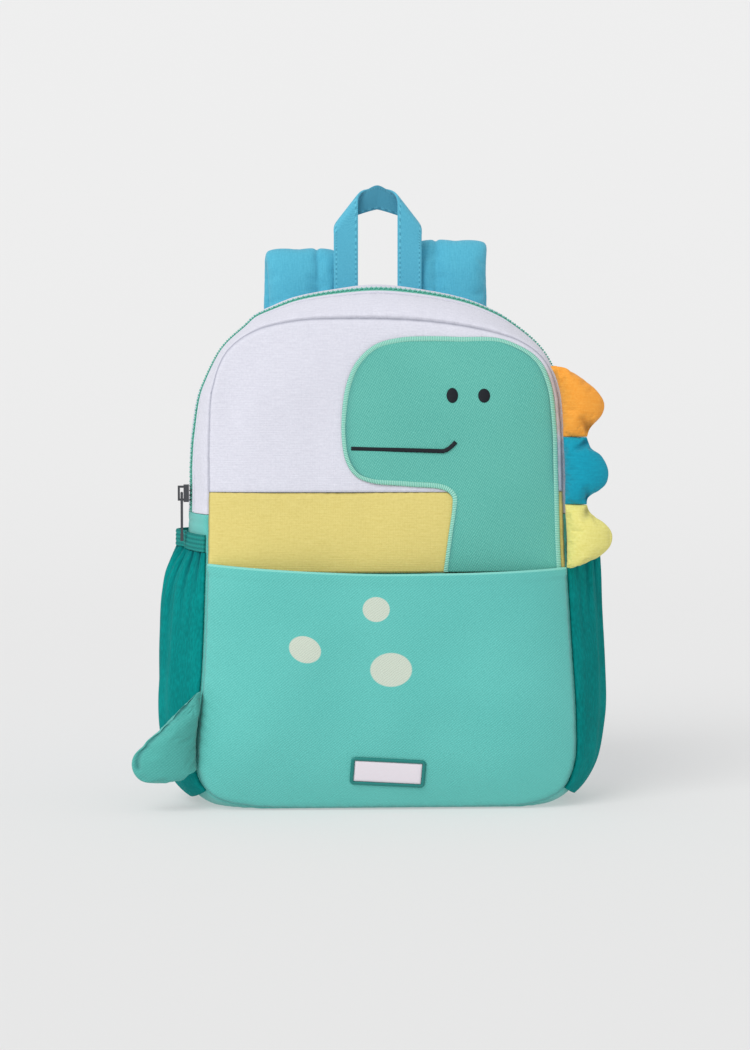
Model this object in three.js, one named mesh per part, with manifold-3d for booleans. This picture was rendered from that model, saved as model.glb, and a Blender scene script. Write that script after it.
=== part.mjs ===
// A small child's backpack: an arched bag of sewn panels with a padded back, a front pocket, two gathered side
// pockets, a zip over the arch, two padded straps, a carrying loop, and a dinosaur made of an applique, three
// stuffed spikes and a stuffed tail. Millimetres, +Z up, the front faces -Y, and the bag stands on z = 0.
import * as THREE from "three";
import { mergeVertices } from "three/addons/utils/BufferGeometryUtils.js";
import Module from "manifold-3d";

const wasm = await Module();
wasm.setup();

// The bag's body.
const BODY_WIDTH = 223;
const BODY_HEIGHT = 309;
const BODY_DEPTH = 98;
const TOP_LEAN = 8;
const CLOTH = 2;
const SEAM_GAP = 0.3;
const FRONT_CROWN = 9;
const BACK_PAD = 7;
const BACK_CROWN = 3;
const SIDE_BULGE = 12.5;
const TOP_BULGE = 21.5;
const FLOOR_BULGE = 9;
const BAND_HEIGHT = 50;

// The heights between which each side of the seam runs, before it turns into its bottom and its top.
const LOWER_CORNER = 24;
const UPPER_CORNER = BODY_HEIGHT - 47;

// The front pocket and its label plate.
const HEM_HEIGHT = 150;
const POCKET_ROOM = 11;
const LABEL_WIDTH = 47;
const LABEL_HEIGHT = 18;
const LABEL_CORNER = 2.5;
const LABEL_RISE = 25;
const LABEL_TILT_DEG = -3.4;
const LABEL_RIM = 2.3;
const LABEL_RIM_THICKNESS = 2;
const LABEL_FIELD_THICKNESS = 1.3;

// The side pockets.
const SIDE_POCKET_TOP = 162;
const SIDE_POCKET_BOTTOM = 13;
const SIDE_POCKET_CLOTH = 1.5;
const SIDE_POCKET_ROOM = 14.5;
const MOUTH_GAPE = 7.5;
const GAPE_PLACE = 0.74;
const GAPE_SHARE = 0.22;
const GATHER_DEPTH = 1.6;
const GATHERS = 5;
const BINDING_HEIGHT = 11;
const BINDING_THICKNESS = 2;

// The zip and the strips beside it. The zip ends and its slider rests above the side pockets.
const ZIP_WIDTH = 12;
const ZIP_OFFSET = -17;
const COIL_HEIGHT = 1;
const ZIP_END_HEIGHT = SIDE_POCKET_TOP + 24;
const SLIDER_RISE = 12;

// The dinosaur's head and neck.
const HEAD_LEFT = -28.5;
const HEAD_WIDTH = 137.5;
const HEAD_BASE = HEM_HEIGHT + 2 * SEAM_GAP;
const HEAD_HEIGHT = BODY_HEIGHT - HEAD_BASE - 11.4;
const HEAD_SHOULDER = 5.6;
const APPLIQUE_CLOTH = 1;
const APPLIQUE_GAP = 0.5;
const EDGING_WIDTH = 3.5;
const EDGING_THICKNESS = 1.5;
const SEAM_INSET = 3;
const EYE_RISE = HEAD_HEIGHT * 0.748;
const EYE_SPACING = 20;
const EYE_CENTRE = HEAD_LEFT + 79.3;
const EYE_HALF_WIDTH = 3.6;
const EYE_HALF_HEIGHT = 4.5;
const STITCH_THICKNESS = 0.9;
const MOUTH_LEFT = HEAD_LEFT + 5.7;
const MOUTH_LENGTH = 65.6;
const MOUTH_RISE = HEAD_HEIGHT * 0.524;
const MOUTH_DROP = 2;
const MOUTH_END_RISE = 6;
const MOUTH_STROKE = 2.3;

// The spikes and the tail.
const SPIKES_TOP = BODY_HEIGHT - 30;
const SPIKE_HEIGHTS = { orange: 44.6, blue: 42.4, yellow: 40 };
const SPIKE_REACH = 29.5;
const SPIKE_THICKNESS = 13;
const TAIL_TOP = 76;
const TAIL_SEAM_LENGTH = 50;
const TAIL_REACH = 41;
const TAIL_THICKNESS = 17;
const SPIKE_FORWARD = 3;
const TAIL_FORWARD = 9;
const STUFFED_LIFT = 1.5;
const SEWN_EDGE = 0.8;
const FRONT_SHARE = 0.65;
const BASE_SHARE = 0.06;

// The carrying loop.
const HANDLE_WIDTH = 16;
const HANDLE_THICKNESS = 2;
const HANDLE_SPREAD = 42;
const HANDLE_TOP = BODY_HEIGHT + 88;
const HANDLE_FOLD_SLOPE_DEG = 52;
const HANDLE_FOLD_TURN_DEG = 165;
const HANDLE_FOLD_RADIUS = 3.5;
const HANDLE_LEAN_DEG = 12;
const HANDLE_ARCH = 4.7;
const HANDLE_SLANT_LENGTH = 18;

// The shoulder straps and what holds their lower ends.
const STRAP_WIDTH = 50;
const STRAP_THICKNESS = 11;
const STRAP_SPREAD = 96;
const STRAP_TOP_LEFT = BODY_HEIGHT + 47;
const STRAP_TOP_RIGHT = BODY_HEIGHT + 53;
const STRAP_SEAM_DROP = 14;
const STRAP_END = 88;
const STRAP_FLARE = 28;
const STRAP_STANDOFF = 18;
const WEBBING_WIDTH = 20;
const WEBBING_THICKNESS = 1.6;
const ADJUSTER_WIDTH = 27;
const ADJUSTER_HEIGHT = 20;
const ADJUSTER_THICKNESS = 3.5;
const ADJUSTER_SLOT = 3.4;
const ADJUSTER_SLOT_RISE = 3.6;
const ADJUSTER_CORNER = 3;
const ADJUSTER_PLACE = 0.3;
const SLOT_ROOM = 1;
const TAB_LENGTH = 24;
const TAB_THICKNESS = 3;
const TAB_INSET = 4;
const TAB_DROP = 6;
const TAB_SLOPE = 0.7;
const TAB_NARROW = 0.7;
const TAB_WIDE = 1.15;
const WEBBING_END = 0.4;

// The zip's slider and pull.
const SLIDER_HEIGHT = 11;
const SLIDER_WIDTH = 8;
const SLIDER_THICKNESS = 3.4;
const BRIDGE_WIRE = 1.4;
const PIN_DIAMETER = 1.6;
const PULL_LENGTH = 28;
const PULL_WIDTH = 2.4;
const PULL_THICKNESS = 1.6;
const PULL_FORK = 5.6;
const TIP_LENGTH = 5;
const TIP_WIDTH = 3.6;
const TIP_THICKNESS = 2;
const RUNNING_GAP = 0.35;

const HALF_WIDTH = BODY_WIDTH / 2;
const BACK_Y = BODY_DEPTH / 2;
const BODY_CENTRE = new THREE.Vector3(0, 0, BODY_HEIGHT / 2);

const material = (color, roughness, metalness = 0) =>
  new THREE.MeshStandardMaterial({ color, roughness, metalness });
const whiteCanvas = material(0xdedcec, 0.9);
const yellowCanvas = material(0xe2d684, 0.9);
const mintTwill = material(0x68cdbe, 0.85);
const headTwill = material(0x64c6b4, 0.85);
const satinEdging = material(0x96dcc8, 0.6);
const tealCloth = material(0x14968c, 0.9);
const strapBlue = material(0x55b8d6, 0.85);
const darkThread = material(0x1b232a, 0.7);
const orangeCloth = material(0xf3a63c, 0.9);
const blueCloth = material(0x0aa0be, 0.9);
const paleYellowCloth = material(0xe8e082, 0.9);
const tealRubber = material(0x0a7d76, 0.5);
const paleRubber = material(0xe8dee6, 0.5);
const zipMint = material(0x7dcdb4, 0.7);
const darkMetal = material(0x4a4c50, 0.35, 1);

// The front seam's outline, from the middle of the bottom up the right side and round: x as a share of half the
// width and z as a share of the height.
const SEAM_TABLE = [
  { x: 0, z: 0.004 },
  { x: 0.54, z: 0.004 },
  { x: 0.83, z: 0.01 },
  { x: 0.99, z: 0.036 },
  { x: 1.06, z: 0.09 },
  { x: 1.067, z: 0.18 },
  { x: 1.037, z: 0.355 },
  { x: 1.01, z: 0.52 },
  { x: 0.997, z: 0.665 },
  { x: 0.985, z: 0.79 },
  { x: 0.957, z: 0.868 },
  { x: 0.888, z: 0.92 },
  { x: 0.755, z: 0.955 },
  { x: 0.54, z: 0.978 },
  { x: 0.22, z: 0.995 },
  { x: -0.22, z: 1 },
  { x: -0.52, z: 0.995 },
  { x: -0.755, z: 0.973 },
  { x: -0.906, z: 0.93 },
  { x: -0.982, z: 0.858 },
  { x: -1, z: 0.76 },
  { x: -1.002, z: 0.65 },
  { x: -1.009, z: 0.485 },
  { x: -1.03, z: 0.29 },
  { x: -1.064, z: 0.14 },
  { x: -1.058, z: 0.07 },
  { x: -0.97, z: 0.028 },
  { x: -0.8, z: 0.01 },
  { x: -0.5, z: 0.004 },
];
const SEAM_SAMPLES = 480;
const seamCurve = new THREE.CatmullRomCurve3(
  SEAM_TABLE.map((row) => new THREE.Vector3(row.x * HALF_WIDTH, 0, row.z * BODY_HEIGHT)),
  true,
  "centripetal",
);
seamCurve.arcLengthDivisions = SEAM_SAMPLES;
const seamPoints = seamCurve.getSpacedPoints(SEAM_SAMPLES);
const seamPolar = seamPoints
  .slice(0, SEAM_SAMPLES)
  .map((p) => ({
    angle: Math.atan2(p.z - BODY_CENTRE.z, p.x),
    radius: Math.hypot(p.z - BODY_CENTRE.z, p.x),
  }))
  .sort((a, b) => a.angle - b.angle);

const mix = (a, b, share) => a + (b - a) * share;
const frontY = (z) => -BODY_DEPTH / 2 + TOP_LEAN * (z / BODY_HEIGHT) ** 2;

// A point of the front seam and its outward direction, by its share of the seam's length.
function seamAt(share) {
  const turn = ((share % 1) + 1) % 1;
  const point = seamCurve.getPointAt(turn);
  const along = seamCurve.getTangentAt(turn);
  return { x: point.x, z: point.z, nx: along.z, nz: -along.x };
}

// The share of the seam's length at which its right (side 1) or left (side -1) edge reaches a height.
function seamShare(side, height) {
  const onSide = (p) => p.x * side > HALF_WIDTH / 2;
  const crossing = seamPoints.findIndex((p, i) => {
    const next = seamPoints[i + 1];
    return next && onSide(p) && (p.z - height) * (next.z - height) <= 0;
  });
  const [before, after] = [seamPoints[crossing], seamPoints[crossing + 1]];
  return (crossing + (height - before.z) / (after.z - before.z)) / SEAM_SAMPLES;
}

// How far a point of the front lies from the middle, as a share of the way to the seam.
function spreadAt(x, z) {
  const angle = Math.atan2(z - BODY_CENTRE.z, x);
  let next = seamPolar.findIndex((s) => s.angle > angle);
  if (next < 0) next = 0;
  const before = seamPolar[(next + SEAM_SAMPLES - 1) % SEAM_SAMPLES];
  const after = seamPolar[next];
  const turn = 2 * Math.PI;
  const span = (after.angle - before.angle + turn) % turn;
  const share = ((angle - before.angle + turn) % turn) / span;
  return Math.hypot(z - BODY_CENTRE.z, x) / mix(before.radius, after.radius, share);
}

// A panel is fullest in the middle and comes back to the seam round its edge.
const fullness = (x, z) => Math.max(1 - spreadAt(x, z) ** 4, 0);

const onFront = (x, z, lift = 0) =>
  new THREE.Vector3(x, frontY(z) - lift - FRONT_CROWN * fullness(x, z), z);
const onPocket = (x, z, lift = 0) =>
  onFront(x, z, lift + CLOTH + SEAM_GAP + POCKET_ROOM * fullness(x, z));
const onBack = (x, z) =>
  new THREE.Vector3(x, BACK_Y + BACK_PAD + BACK_CROWN * fullness(x, z), z);

const arch = (across) => Math.sin(Math.PI * Math.min(Math.max(across, 0), 1)) ** 0.75;

// How far the strip between front and back bulges round the arch: turn is in degrees about the body's middle, from
// the right side (0) over the top (90) to the left side (180), and side and top are shares of SIDE_BULGE and
// TOP_BULGE, which add up. The arch's corners pull the strip tight.
const ARCH_TABLE = [
  { turn: 32, side: 1, top: 0 },
  { turn: 39, side: 0.76, top: 0 },
  { turn: 45, side: 0.52, top: 0 },
  { turn: 50.4, side: 0.4, top: 0 },
  { turn: 54.4, side: 0.3, top: 0.105 },
  { turn: 59.4, side: 0.2, top: 0.3 },
  { turn: 64, side: 0.1, top: 0.57 },
  { turn: 68.5, side: 0, top: 0.77 },
  { turn: 73, side: 0, top: 0.86 },
  { turn: 82.3, side: 0, top: 0.955 },
  { turn: 91.6, side: 0, top: 1 },
  { turn: 100.8, side: 0, top: 0.885 },
  { turn: 109.4, side: 0, top: 0.69 },
  { turn: 114.8, side: 0.05, top: 0.48 },
  { turn: 118, side: 0.1, top: 0.36 },
  { turn: 120.7, side: 0.15, top: 0.17 },
  { turn: 123.7, side: 0.22, top: 0.06 },
  { turn: 129.6, side: 0.3, top: 0 },
  { turn: 133.2, side: 0.44, top: 0 },
  { turn: 136.9, side: 0.64, top: 0 },
  { turn: 145.1, side: 0.9, top: 0 },
  { turn: 152, side: 1, top: 0 },
];
const ARCH_SAMPLES = 240;
const archBulges = new THREE.CatmullRomCurve3(
  ARCH_TABLE.map((row) => new THREE.Vector3(row.turn, row.side * SIDE_BULGE + row.top * TOP_BULGE, 0)),
  false,
  "centripetal",
).getSpacedPoints(ARCH_SAMPLES);

function bulgeAt(seam) {
  const turn = THREE.MathUtils.radToDeg(Math.atan2(seam.z - BODY_CENTRE.z, seam.x));
  const after = archBulges.findIndex((p) => p.x > turn);
  if (after < 1) return SIDE_BULGE * seam.nx ** 2 + FLOOR_BULGE * seam.nz ** 2;
  const [low, high] = [archBulges[after - 1], archBulges[after]];
  return mix(low.y, high.y, (turn - low.x) / (high.x - low.x));
}

// The strip that joins front and back: across runs from the front seam (0) to the back one (1), and proud lifts
// the point off the cloth. The bag's own weight flattens it where it meets the floor.
function onGusset(share, across, proud = 0, floor = 0) {
  const seam = seamAt(share);
  const out = bulgeAt(seam) * arch(across) + proud;
  const y0 = frontY(seam.z) + CLOTH + SEAM_GAP;
  return new THREE.Vector3(
    seam.x + seam.nx * out,
    mix(y0, BACK_Y - SEAM_GAP, across),
    Math.max(seam.z + seam.nz * out, floor),
  );
}

// A closed geometry from points and triangles, with its faces turned outwards.
function closedGeometry(points, triangles) {
  const loose = new THREE.BufferGeometry();
  const positions = triangles.flatMap((t) => t.flatMap((i) => points[i].toArray()));
  loose.setAttribute("position", new THREE.Float32BufferAttribute(positions, 3));
  const merged = mergeVertices(loose, 1e-3);
  const index = Array.from(merged.index.array);
  const place = (i) => new THREE.Vector3().fromBufferAttribute(merged.attributes.position, i);
  const kept = [];
  let volume = 0;
  for (let i = 0; i < index.length; i += 3) {
    const [a, b, c] = index.slice(i, i + 3);
    if (a !== b && b !== c && c !== a) {
      kept.push([a, b, c]);
      volume += place(a).dot(place(b).cross(place(c)));
    }
  }
  merged.setIndex(kept.flatMap(([a, b, c]) => (volume < 0 ? [a, c, b] : [a, b, c])));
  merged.computeVertexNormals();
  return merged;
}

// The solid between two surfaces that are given on the same grid.
function solidBetween(outer, inner, columns, rows) {
  const points = [];
  for (const surface of [outer, inner])
    for (let r = 0; r <= rows; r++)
      for (let c = 0; c <= columns; c++) points.push(surface(c, r));
  const layer = (columns + 1) * (rows + 1);
  const at = (c, r, inside = 0) => inside * layer + r * (columns + 1) + c;
  const triangles = [];
  const quad = (a, b, c, d) => triangles.push([a, b, c], [a, c, d]);
  for (let r = 0; r < rows; r++)
    for (let c = 0; c < columns; c++) {
      quad(at(c, r), at(c + 1, r), at(c + 1, r + 1), at(c, r + 1));
      quad(at(c, r, 1), at(c, r + 1, 1), at(c + 1, r + 1, 1), at(c + 1, r, 1));
    }
  for (let c = 0; c < columns; c++) {
    quad(at(c, 0), at(c, 0, 1), at(c + 1, 0, 1), at(c + 1, 0));
    quad(at(c, rows), at(c + 1, rows), at(c + 1, rows, 1), at(c, rows, 1));
  }
  for (let r = 0; r < rows; r++) {
    quad(at(0, r), at(0, r + 1), at(0, r + 1, 1), at(0, r, 1));
    quad(at(columns, r), at(columns, r, 1), at(columns, r + 1, 1), at(columns, r + 1));
  }
  return closedGeometry(points, triangles);
}

// A cloth wall: the outer surface (u and v from 0 to 1) and the same one moved inwards by the wall. Its direction
// is taken from the surface a short STEP to each side.
const STEP = 0.01;

function wallSolid(surface, columns, rows, wall) {
  const normalAt = (u, v) => {
    const across = surface(u + STEP, v).sub(surface(u - STEP, v));
    const along = surface(u, v + STEP).sub(surface(u, v - STEP));
    return across.cross(along).normalize();
  };
  const side = Math.sign(normalAt(0.5, 0.5).dot(surface(0.5, 0.5).sub(BODY_CENTRE)));
  const outer = (c, r) => surface(c / columns, r / rows);
  const inner = (c, r) => {
    const [u, v] = [c / columns, r / rows];
    return surface(u, v).addScaledVector(normalAt(u, v), -side * wall);
  };
  return solidBetween(outer, inner, columns, rows);
}

// A patch of the front between four edges, each a function that gives x and z (a Coons patch).
function patchBetween(bottom, top, left, right) {
  return (u, v) => {
    const blend = (axis) =>
      mix(bottom(u)[axis], top(u)[axis], v) +
      mix(left(v)[axis], right(v)[axis], u) -
      mix(
        mix(bottom(0)[axis], bottom(1)[axis], u),
        mix(top(0)[axis], top(1)[axis], u),
        v,
      );
    return { x: blend("x"), z: blend("z") };
  };
}

const seamRun = (from, to) => (share) => seamAt(mix(from, to, share));

function levelRun(z) {
  const left = seamAt(seamShare(-1, z)).x;
  const right = seamAt(seamShare(1, z)).x;
  return (share) => ({ x: mix(left, right, share), z });
}

// The part of the front from a level up to the top of the arch, or down to the bottom, or between two levels.
function frontAbove(z) {
  const right = seamShare(1, z);
  const left = seamShare(-1, z);
  const rightCorner = seamShare(1, UPPER_CORNER);
  const leftCorner = seamShare(-1, UPPER_CORNER);
  const topRun = seamRun(leftCorner, rightCorner);
  const level = levelRun(z);
  return patchBetween(level, topRun, seamRun(left, leftCorner), seamRun(right, rightCorner));
}

function frontBelow(z) {
  const leftCorner = seamShare(-1, LOWER_CORNER) - 1;
  const rightCorner = seamShare(1, LOWER_CORNER);
  const bottomRun = seamRun(leftCorner, rightCorner);
  const leftRun = seamRun(leftCorner, seamShare(-1, z) - 1);
  return patchBetween(bottomRun, levelRun(z), leftRun, seamRun(rightCorner, seamShare(1, z)));
}

function frontBetween(low, high) {
  const leftRun = seamRun(seamShare(-1, low), seamShare(-1, high));
  const rightRun = seamRun(seamShare(1, low), seamShare(1, high));
  return patchBetween(levelRun(low), levelRun(high), leftRun, rightRun);
}

const group = new THREE.Group();

function addPiece(name, geometry, finish) {
  const mesh = new THREE.Mesh(geometry, finish);
  mesh.name = name;
  group.add(mesh);
  return mesh;
}

function addFrontPanel(name, patch, columns, rows, finish) {
  const surface = (u, v) => {
    const { x, z } = patch(u, v);
    return onFront(x, z);
  };
  addPiece(name, wallSolid(surface, columns, rows, CLOTH), finish);
}

function addFrontPanels() {
  const bandTop = HEM_HEIGHT + BAND_HEIGHT;
  addFrontPanel("front_panel_top", frontAbove(bandTop + SEAM_GAP), 12, 6, whiteCanvas);
  addFrontPanel("front_panel_band", frontBetween(HEM_HEIGHT, bandTop), 12, 3, yellowCanvas);
  addFrontPanel("front_panel_lower", frontBelow(HEM_HEIGHT - SEAM_GAP), 12, 6, mintTwill);
}

function addBackPanel() {
  const patch = patchBetween(
    seamRun(seamShare(-1, LOWER_CORNER) - 1, seamShare(1, LOWER_CORNER)),
    seamRun(seamShare(-1, UPPER_CORNER), seamShare(1, UPPER_CORNER)),
    seamRun(seamShare(-1, LOWER_CORNER), seamShare(-1, UPPER_CORNER)),
    seamRun(seamShare(1, LOWER_CORNER), seamShare(1, UPPER_CORNER)),
  );
  const surface = (u, v) => {
    const { x, z } = patch(u, v);
    return onBack(x, z);
  };
  addPiece("back_panel", wallSolid(surface, 10, 10, BACK_PAD), strapBlue);
}

// The seam's shares at the rows of a side pocket, closer together round the bag's lower corner, so that the pocket
// and the gusset behind it bend at the same places.
const POCKET_ROWS = 10;
const POCKET_CROWDING = 1.3;
const FLOOR_COLUMNS = 8;

function pocketStations(side) {
  const bottom = seamShare(side, SIDE_POCKET_BOTTOM);
  const top = seamShare(side, SIDE_POCKET_TOP);
  const stations = [];
  for (let i = 0; i <= POCKET_ROWS; i++)
    stations.push(mix(bottom, top, (i / POCKET_ROWS) ** POCKET_CROWDING));
  return stations;
}

function stationAt(stations, position) {
  const low = Math.min(Math.max(Math.floor(position), 0), stations.length - 2);
  return mix(stations[low], stations[low + 1], position - low);
}

// The strips of the gusset: the arch has a white strip, the zip and another white strip, and the rest is mint.
function addGusset() {
  const span = BODY_DEPTH - CLOTH - 2 * SEAM_GAP;
  const zipMiddle = 0.5 + ZIP_OFFSET / span;
  const zipStart = zipMiddle - ZIP_WIDTH / 2 / span;
  const zipEnd = zipMiddle + ZIP_WIDTH / 2 / span;
  const gap = SEAM_GAP / span;
  const right = seamShare(1, ZIP_END_HEIGHT);
  const left = seamShare(-1, ZIP_END_HEIGHT);
  const strip = (from, to) => (u, v) => onGusset(mix(right, left, u), mix(from, to, v));
  addPiece("gusset_front_band", wallSolid(strip(0, zipStart - gap), 34, 3, CLOTH), whiteCanvas);
  addPiece("gusset_back_band", wallSolid(strip(zipEnd + gap, 1), 34, 3, CLOTH), whiteCanvas);
  const coil = (u, v) => {
    const raised = COIL_HEIGHT * Math.max(1 - Math.abs(v - 0.5) * 4, 0);
    return onGusset(mix(right, left, u), mix(zipStart, zipEnd, v), raised);
  };
  addPiece("zip_tape", wallSolid(coil, 34, 4, CLOTH), zipMint);
  const endGap = SEAM_GAP / seamCurve.getLength();
  const leftPocket = pocketStations(-1).map((share) => share - 1).reverse();
  const rightPocket = pocketStations(1);
  const [floorStart, floorEnd] = [leftPocket[leftPocket.length - 1], rightPocket[0]];
  const floorStations = [];
  for (let i = 1; i < FLOOR_COLUMNS; i++)
    floorStations.push(mix(floorStart, floorEnd, i / FLOOR_COLUMNS));
  const stations = [left - 1 + endGap, ...leftPocket, ...floorStations, ...rightPocket, right - endGap];
  const columns = stations.length - 1;
  const lower = (u, v) => onGusset(stationAt(stations, u * columns), v);
  addPiece("gusset_lower", wallSolid(lower, columns, 8, CLOTH), mintTwill);
  return { zipMiddle };
}

function addFrontPocket() {
  const patch = frontBelow(HEM_HEIGHT);
  const surface = (u, v) => {
    const { x, z } = patch(u, v);
    return onPocket(x, z);
  };
  addPiece("front_pocket", wallSolid(surface, 16, 8, CLOTH), mintTwill);
}

// A manifold solid from a geometry, and back.
function toSolid(geometry) {
  const bare = new THREE.BufferGeometry();
  bare.setAttribute("position", geometry.attributes.position);
  if (geometry.index) bare.setIndex(geometry.index);
  const merged = mergeVertices(bare, 1e-3);
  return new wasm.Manifold(
    new wasm.Mesh({
      numProp: 3,
      vertProperties: merged.attributes.position.array,
      triVerts: new Uint32Array(merged.index.array),
    }),
  );
}

function fromSolid(solid) {
  const mesh = solid.getMesh();
  const geometry = new THREE.BufferGeometry();
  geometry.setAttribute("position", new THREE.BufferAttribute(mesh.vertProperties, 3));
  geometry.setIndex(new THREE.BufferAttribute(mesh.triVerts, 1));
  geometry.computeVertexNormals();
  return geometry;
}

// A prism whose outline lies in the x-z plane and that runs through the front of the bag.
function frontPrism(outline) {
  const shape = new THREE.Shape(outline.map((p) => new THREE.Vector2(p.x, p.z)));
  const geometry = new THREE.ExtrudeGeometry(shape, { depth: BODY_DEPTH, bevelEnabled: false });
  geometry.rotateX(Math.PI / 2);
  return toSolid(geometry);
}

// A layer of cloth that lies on the front or on the pocket, over the outline's own rectangle.
function layerOver(outline, onSurface, lift, thickness, cells) {
  const xs = outline.map((p) => p.x);
  const zs = outline.map((p) => p.z);
  const [left, right] = [Math.min(...xs), Math.max(...xs)];
  const [low, high] = [Math.min(...zs), Math.max(...zs)];
  const layer = (height) => (c, r) =>
    onSurface(mix(left, right, c / cells), mix(low, high, r / cells), height);
  return toSolid(solidBetween(layer(lift + thickness), layer(lift), cells, cells));
}

// The head's free edge, from the neck's lower end round the snout to the top of the head: x as a share of the
// head's width from the snout, z as a share of its height above the pocket's hem.
const HEAD_TABLE = [
  { x: 0.462, z: 0 },
  { x: 0.484, z: 0.15 },
  { x: 0.502, z: 0.275 },
  { x: 0.5, z: 0.318 },
  { x: 0.465, z: 0.345 },
  { x: 0.295, z: 0.362 },
  { x: 0.13, z: 0.378 },
  { x: 0.06, z: 0.408 },
  { x: 0.018, z: 0.47 },
  { x: 0, z: 0.566 },
  { x: 0.002, z: 0.68 },
  { x: 0.022, z: 0.795 },
  { x: 0.066, z: 0.888 },
  { x: 0.15, z: 0.962 },
  { x: 0.26, z: 0.993 },
  { x: 0.4, z: 1 },
  { x: 0.73, z: 0.99 },
];

// The head's whole outline: its free edge, then down along the right seam.
function headOutline(inset) {
  const place = (row) =>
    new THREE.Vector3(HEAD_LEFT + row.x * HEAD_WIDTH, 0, HEAD_BASE + row.z * HEAD_HEIGHT);
  const curve = new THREE.CatmullRomCurve3(HEAD_TABLE.map(place), false, "centripetal");
  const free = curve.getSpacedPoints(34);
  const seamSide = [];
  const highest = seamShare(1, HEAD_BASE + HEAD_HEIGHT - HEAD_SHOULDER);
  const lowest = seamShare(1, HEAD_BASE);
  for (let i = 0; i <= 9; i++) {
    const seam = seamAt(mix(highest, lowest, i / 9));
    seamSide.push(new THREE.Vector3(seam.x - seam.nx * SEAM_INSET, 0, seam.z - seam.nz * SEAM_INSET));
  }
  const outline = [...free, ...seamSide];
  const centreward = (p, before, after) => {
    const along = after.clone().sub(before).normalize();
    return new THREE.Vector3(p.x + along.z * inset, 0, p.z - along.x * inset);
  };
  const moved = outline.map((p, i) =>
    centreward(p, outline[Math.max(i - 1, 0)], outline[Math.min(i + 1, outline.length - 1)]),
  );
  const sink = inset > 0 ? EDGING_WIDTH * 2 : 0;
  const end = moved[moved.length - 1];
  return [
    { x: moved[0].x, z: HEAD_BASE - sink },
    ...moved.slice(1, -1),
    { x: end.x, z: HEAD_BASE - sink },
  ];
}

function addHead() {
  const whole = headOutline(0);
  const inner = headOutline(EDGING_WIDTH + SEAM_GAP);
  const innerHole = headOutline(EDGING_WIDTH);
  const head = layerOver(whole, onFront, APPLIQUE_GAP, APPLIQUE_CLOTH, 8);
  addPiece("dino_head", fromSolid(head.intersect(frontPrism(inner))), headTwill);
  const edging = layerOver(whole, onFront, APPLIQUE_GAP, EDGING_THICKNESS, 8);
  const ring = edging.intersect(frontPrism(whole)).subtract(frontPrism(innerHole));
  addPiece("dino_edging", fromSolid(ring), satinEdging);
}

// The share of the mouth's length at which it starts to turn up.
const MOUTH_TURN = 0.88;

function addStitched(name, outline, cells) {
  const lift = APPLIQUE_GAP + APPLIQUE_CLOTH + SEAM_GAP;
  const layer = layerOver(outline, onFront, lift, STITCH_THICKNESS, cells);
  addPiece(name, fromSolid(layer.intersect(frontPrism(outline))), darkThread);
}

function addFace() {
  const sides = { eye_left: -1, eye_right: 1 };
  for (const [name, side] of Object.entries(sides)) {
    const outline = [];
    for (let i = 0; i < 16; i++) {
      const angle = (i / 16) * 2 * Math.PI;
      outline.push({
        x: EYE_CENTRE + (side * EYE_SPACING) / 2 + EYE_HALF_WIDTH * Math.cos(angle),
        z: HEAD_BASE + EYE_RISE + EYE_HALF_HEIGHT * Math.sin(angle),
      });
    }
    addStitched(name, outline, 2);
  }
  const steps = 12;
  const straight = 4;
  const upturn = (share) => Math.max((share - MOUTH_TURN) / (1 - MOUTH_TURN), 0) ** 1.5;
  const line = (share) => ({
    x: MOUTH_LEFT + MOUTH_LENGTH * share,
    z: HEAD_BASE + MOUTH_RISE - MOUTH_DROP * share + MOUTH_END_RISE * upturn(share),
  });
  const upper = [];
  const lower = [];
  for (let i = 0; i <= steps; i++) {
    const turning = (i - straight) / (steps - straight);
    const share = turning < 0 ? (MOUTH_TURN * i) / straight : mix(MOUTH_TURN, 1, turning);
    const here = line(share);
    const ahead = line(share + STEP);
    const length = Math.hypot(ahead.x - here.x, ahead.z - here.z);
    const nx = (-(ahead.z - here.z) / length) * (MOUTH_STROKE / 2);
    const nz = ((ahead.x - here.x) / length) * (MOUTH_STROKE / 2);
    upper.push({ x: here.x + nx, z: here.z + nz });
    lower.unshift({ x: here.x - nx, z: here.z - nz });
  }
  addStitched("mouth", [...upper, ...lower], 4);
}

// A rectangle with round corners, turned in its own plane about a centre.
function roundedRectangle(width, height, corner, centre, turnDeg) {
  const points = [];
  const turn = THREE.MathUtils.degToRad(turnDeg);
  const quarter = 3;
  for (let side = 0; side < 4; side++)
    for (let i = 0; i <= quarter; i++) {
      const angle = (side + i / quarter) * (Math.PI / 2);
      const cornerX = (side === 0 || side === 3 ? 1 : -1) * (width / 2 - corner);
      const cornerZ = (side < 2 ? 1 : -1) * (height / 2 - corner);
      const x = cornerX + corner * Math.cos(angle);
      const z = cornerZ + corner * Math.sin(angle);
      points.push({
        x: centre.x + x * Math.cos(turn) - z * Math.sin(turn),
        z: centre.z + x * Math.sin(turn) + z * Math.cos(turn),
      });
    }
  return points;
}

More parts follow.
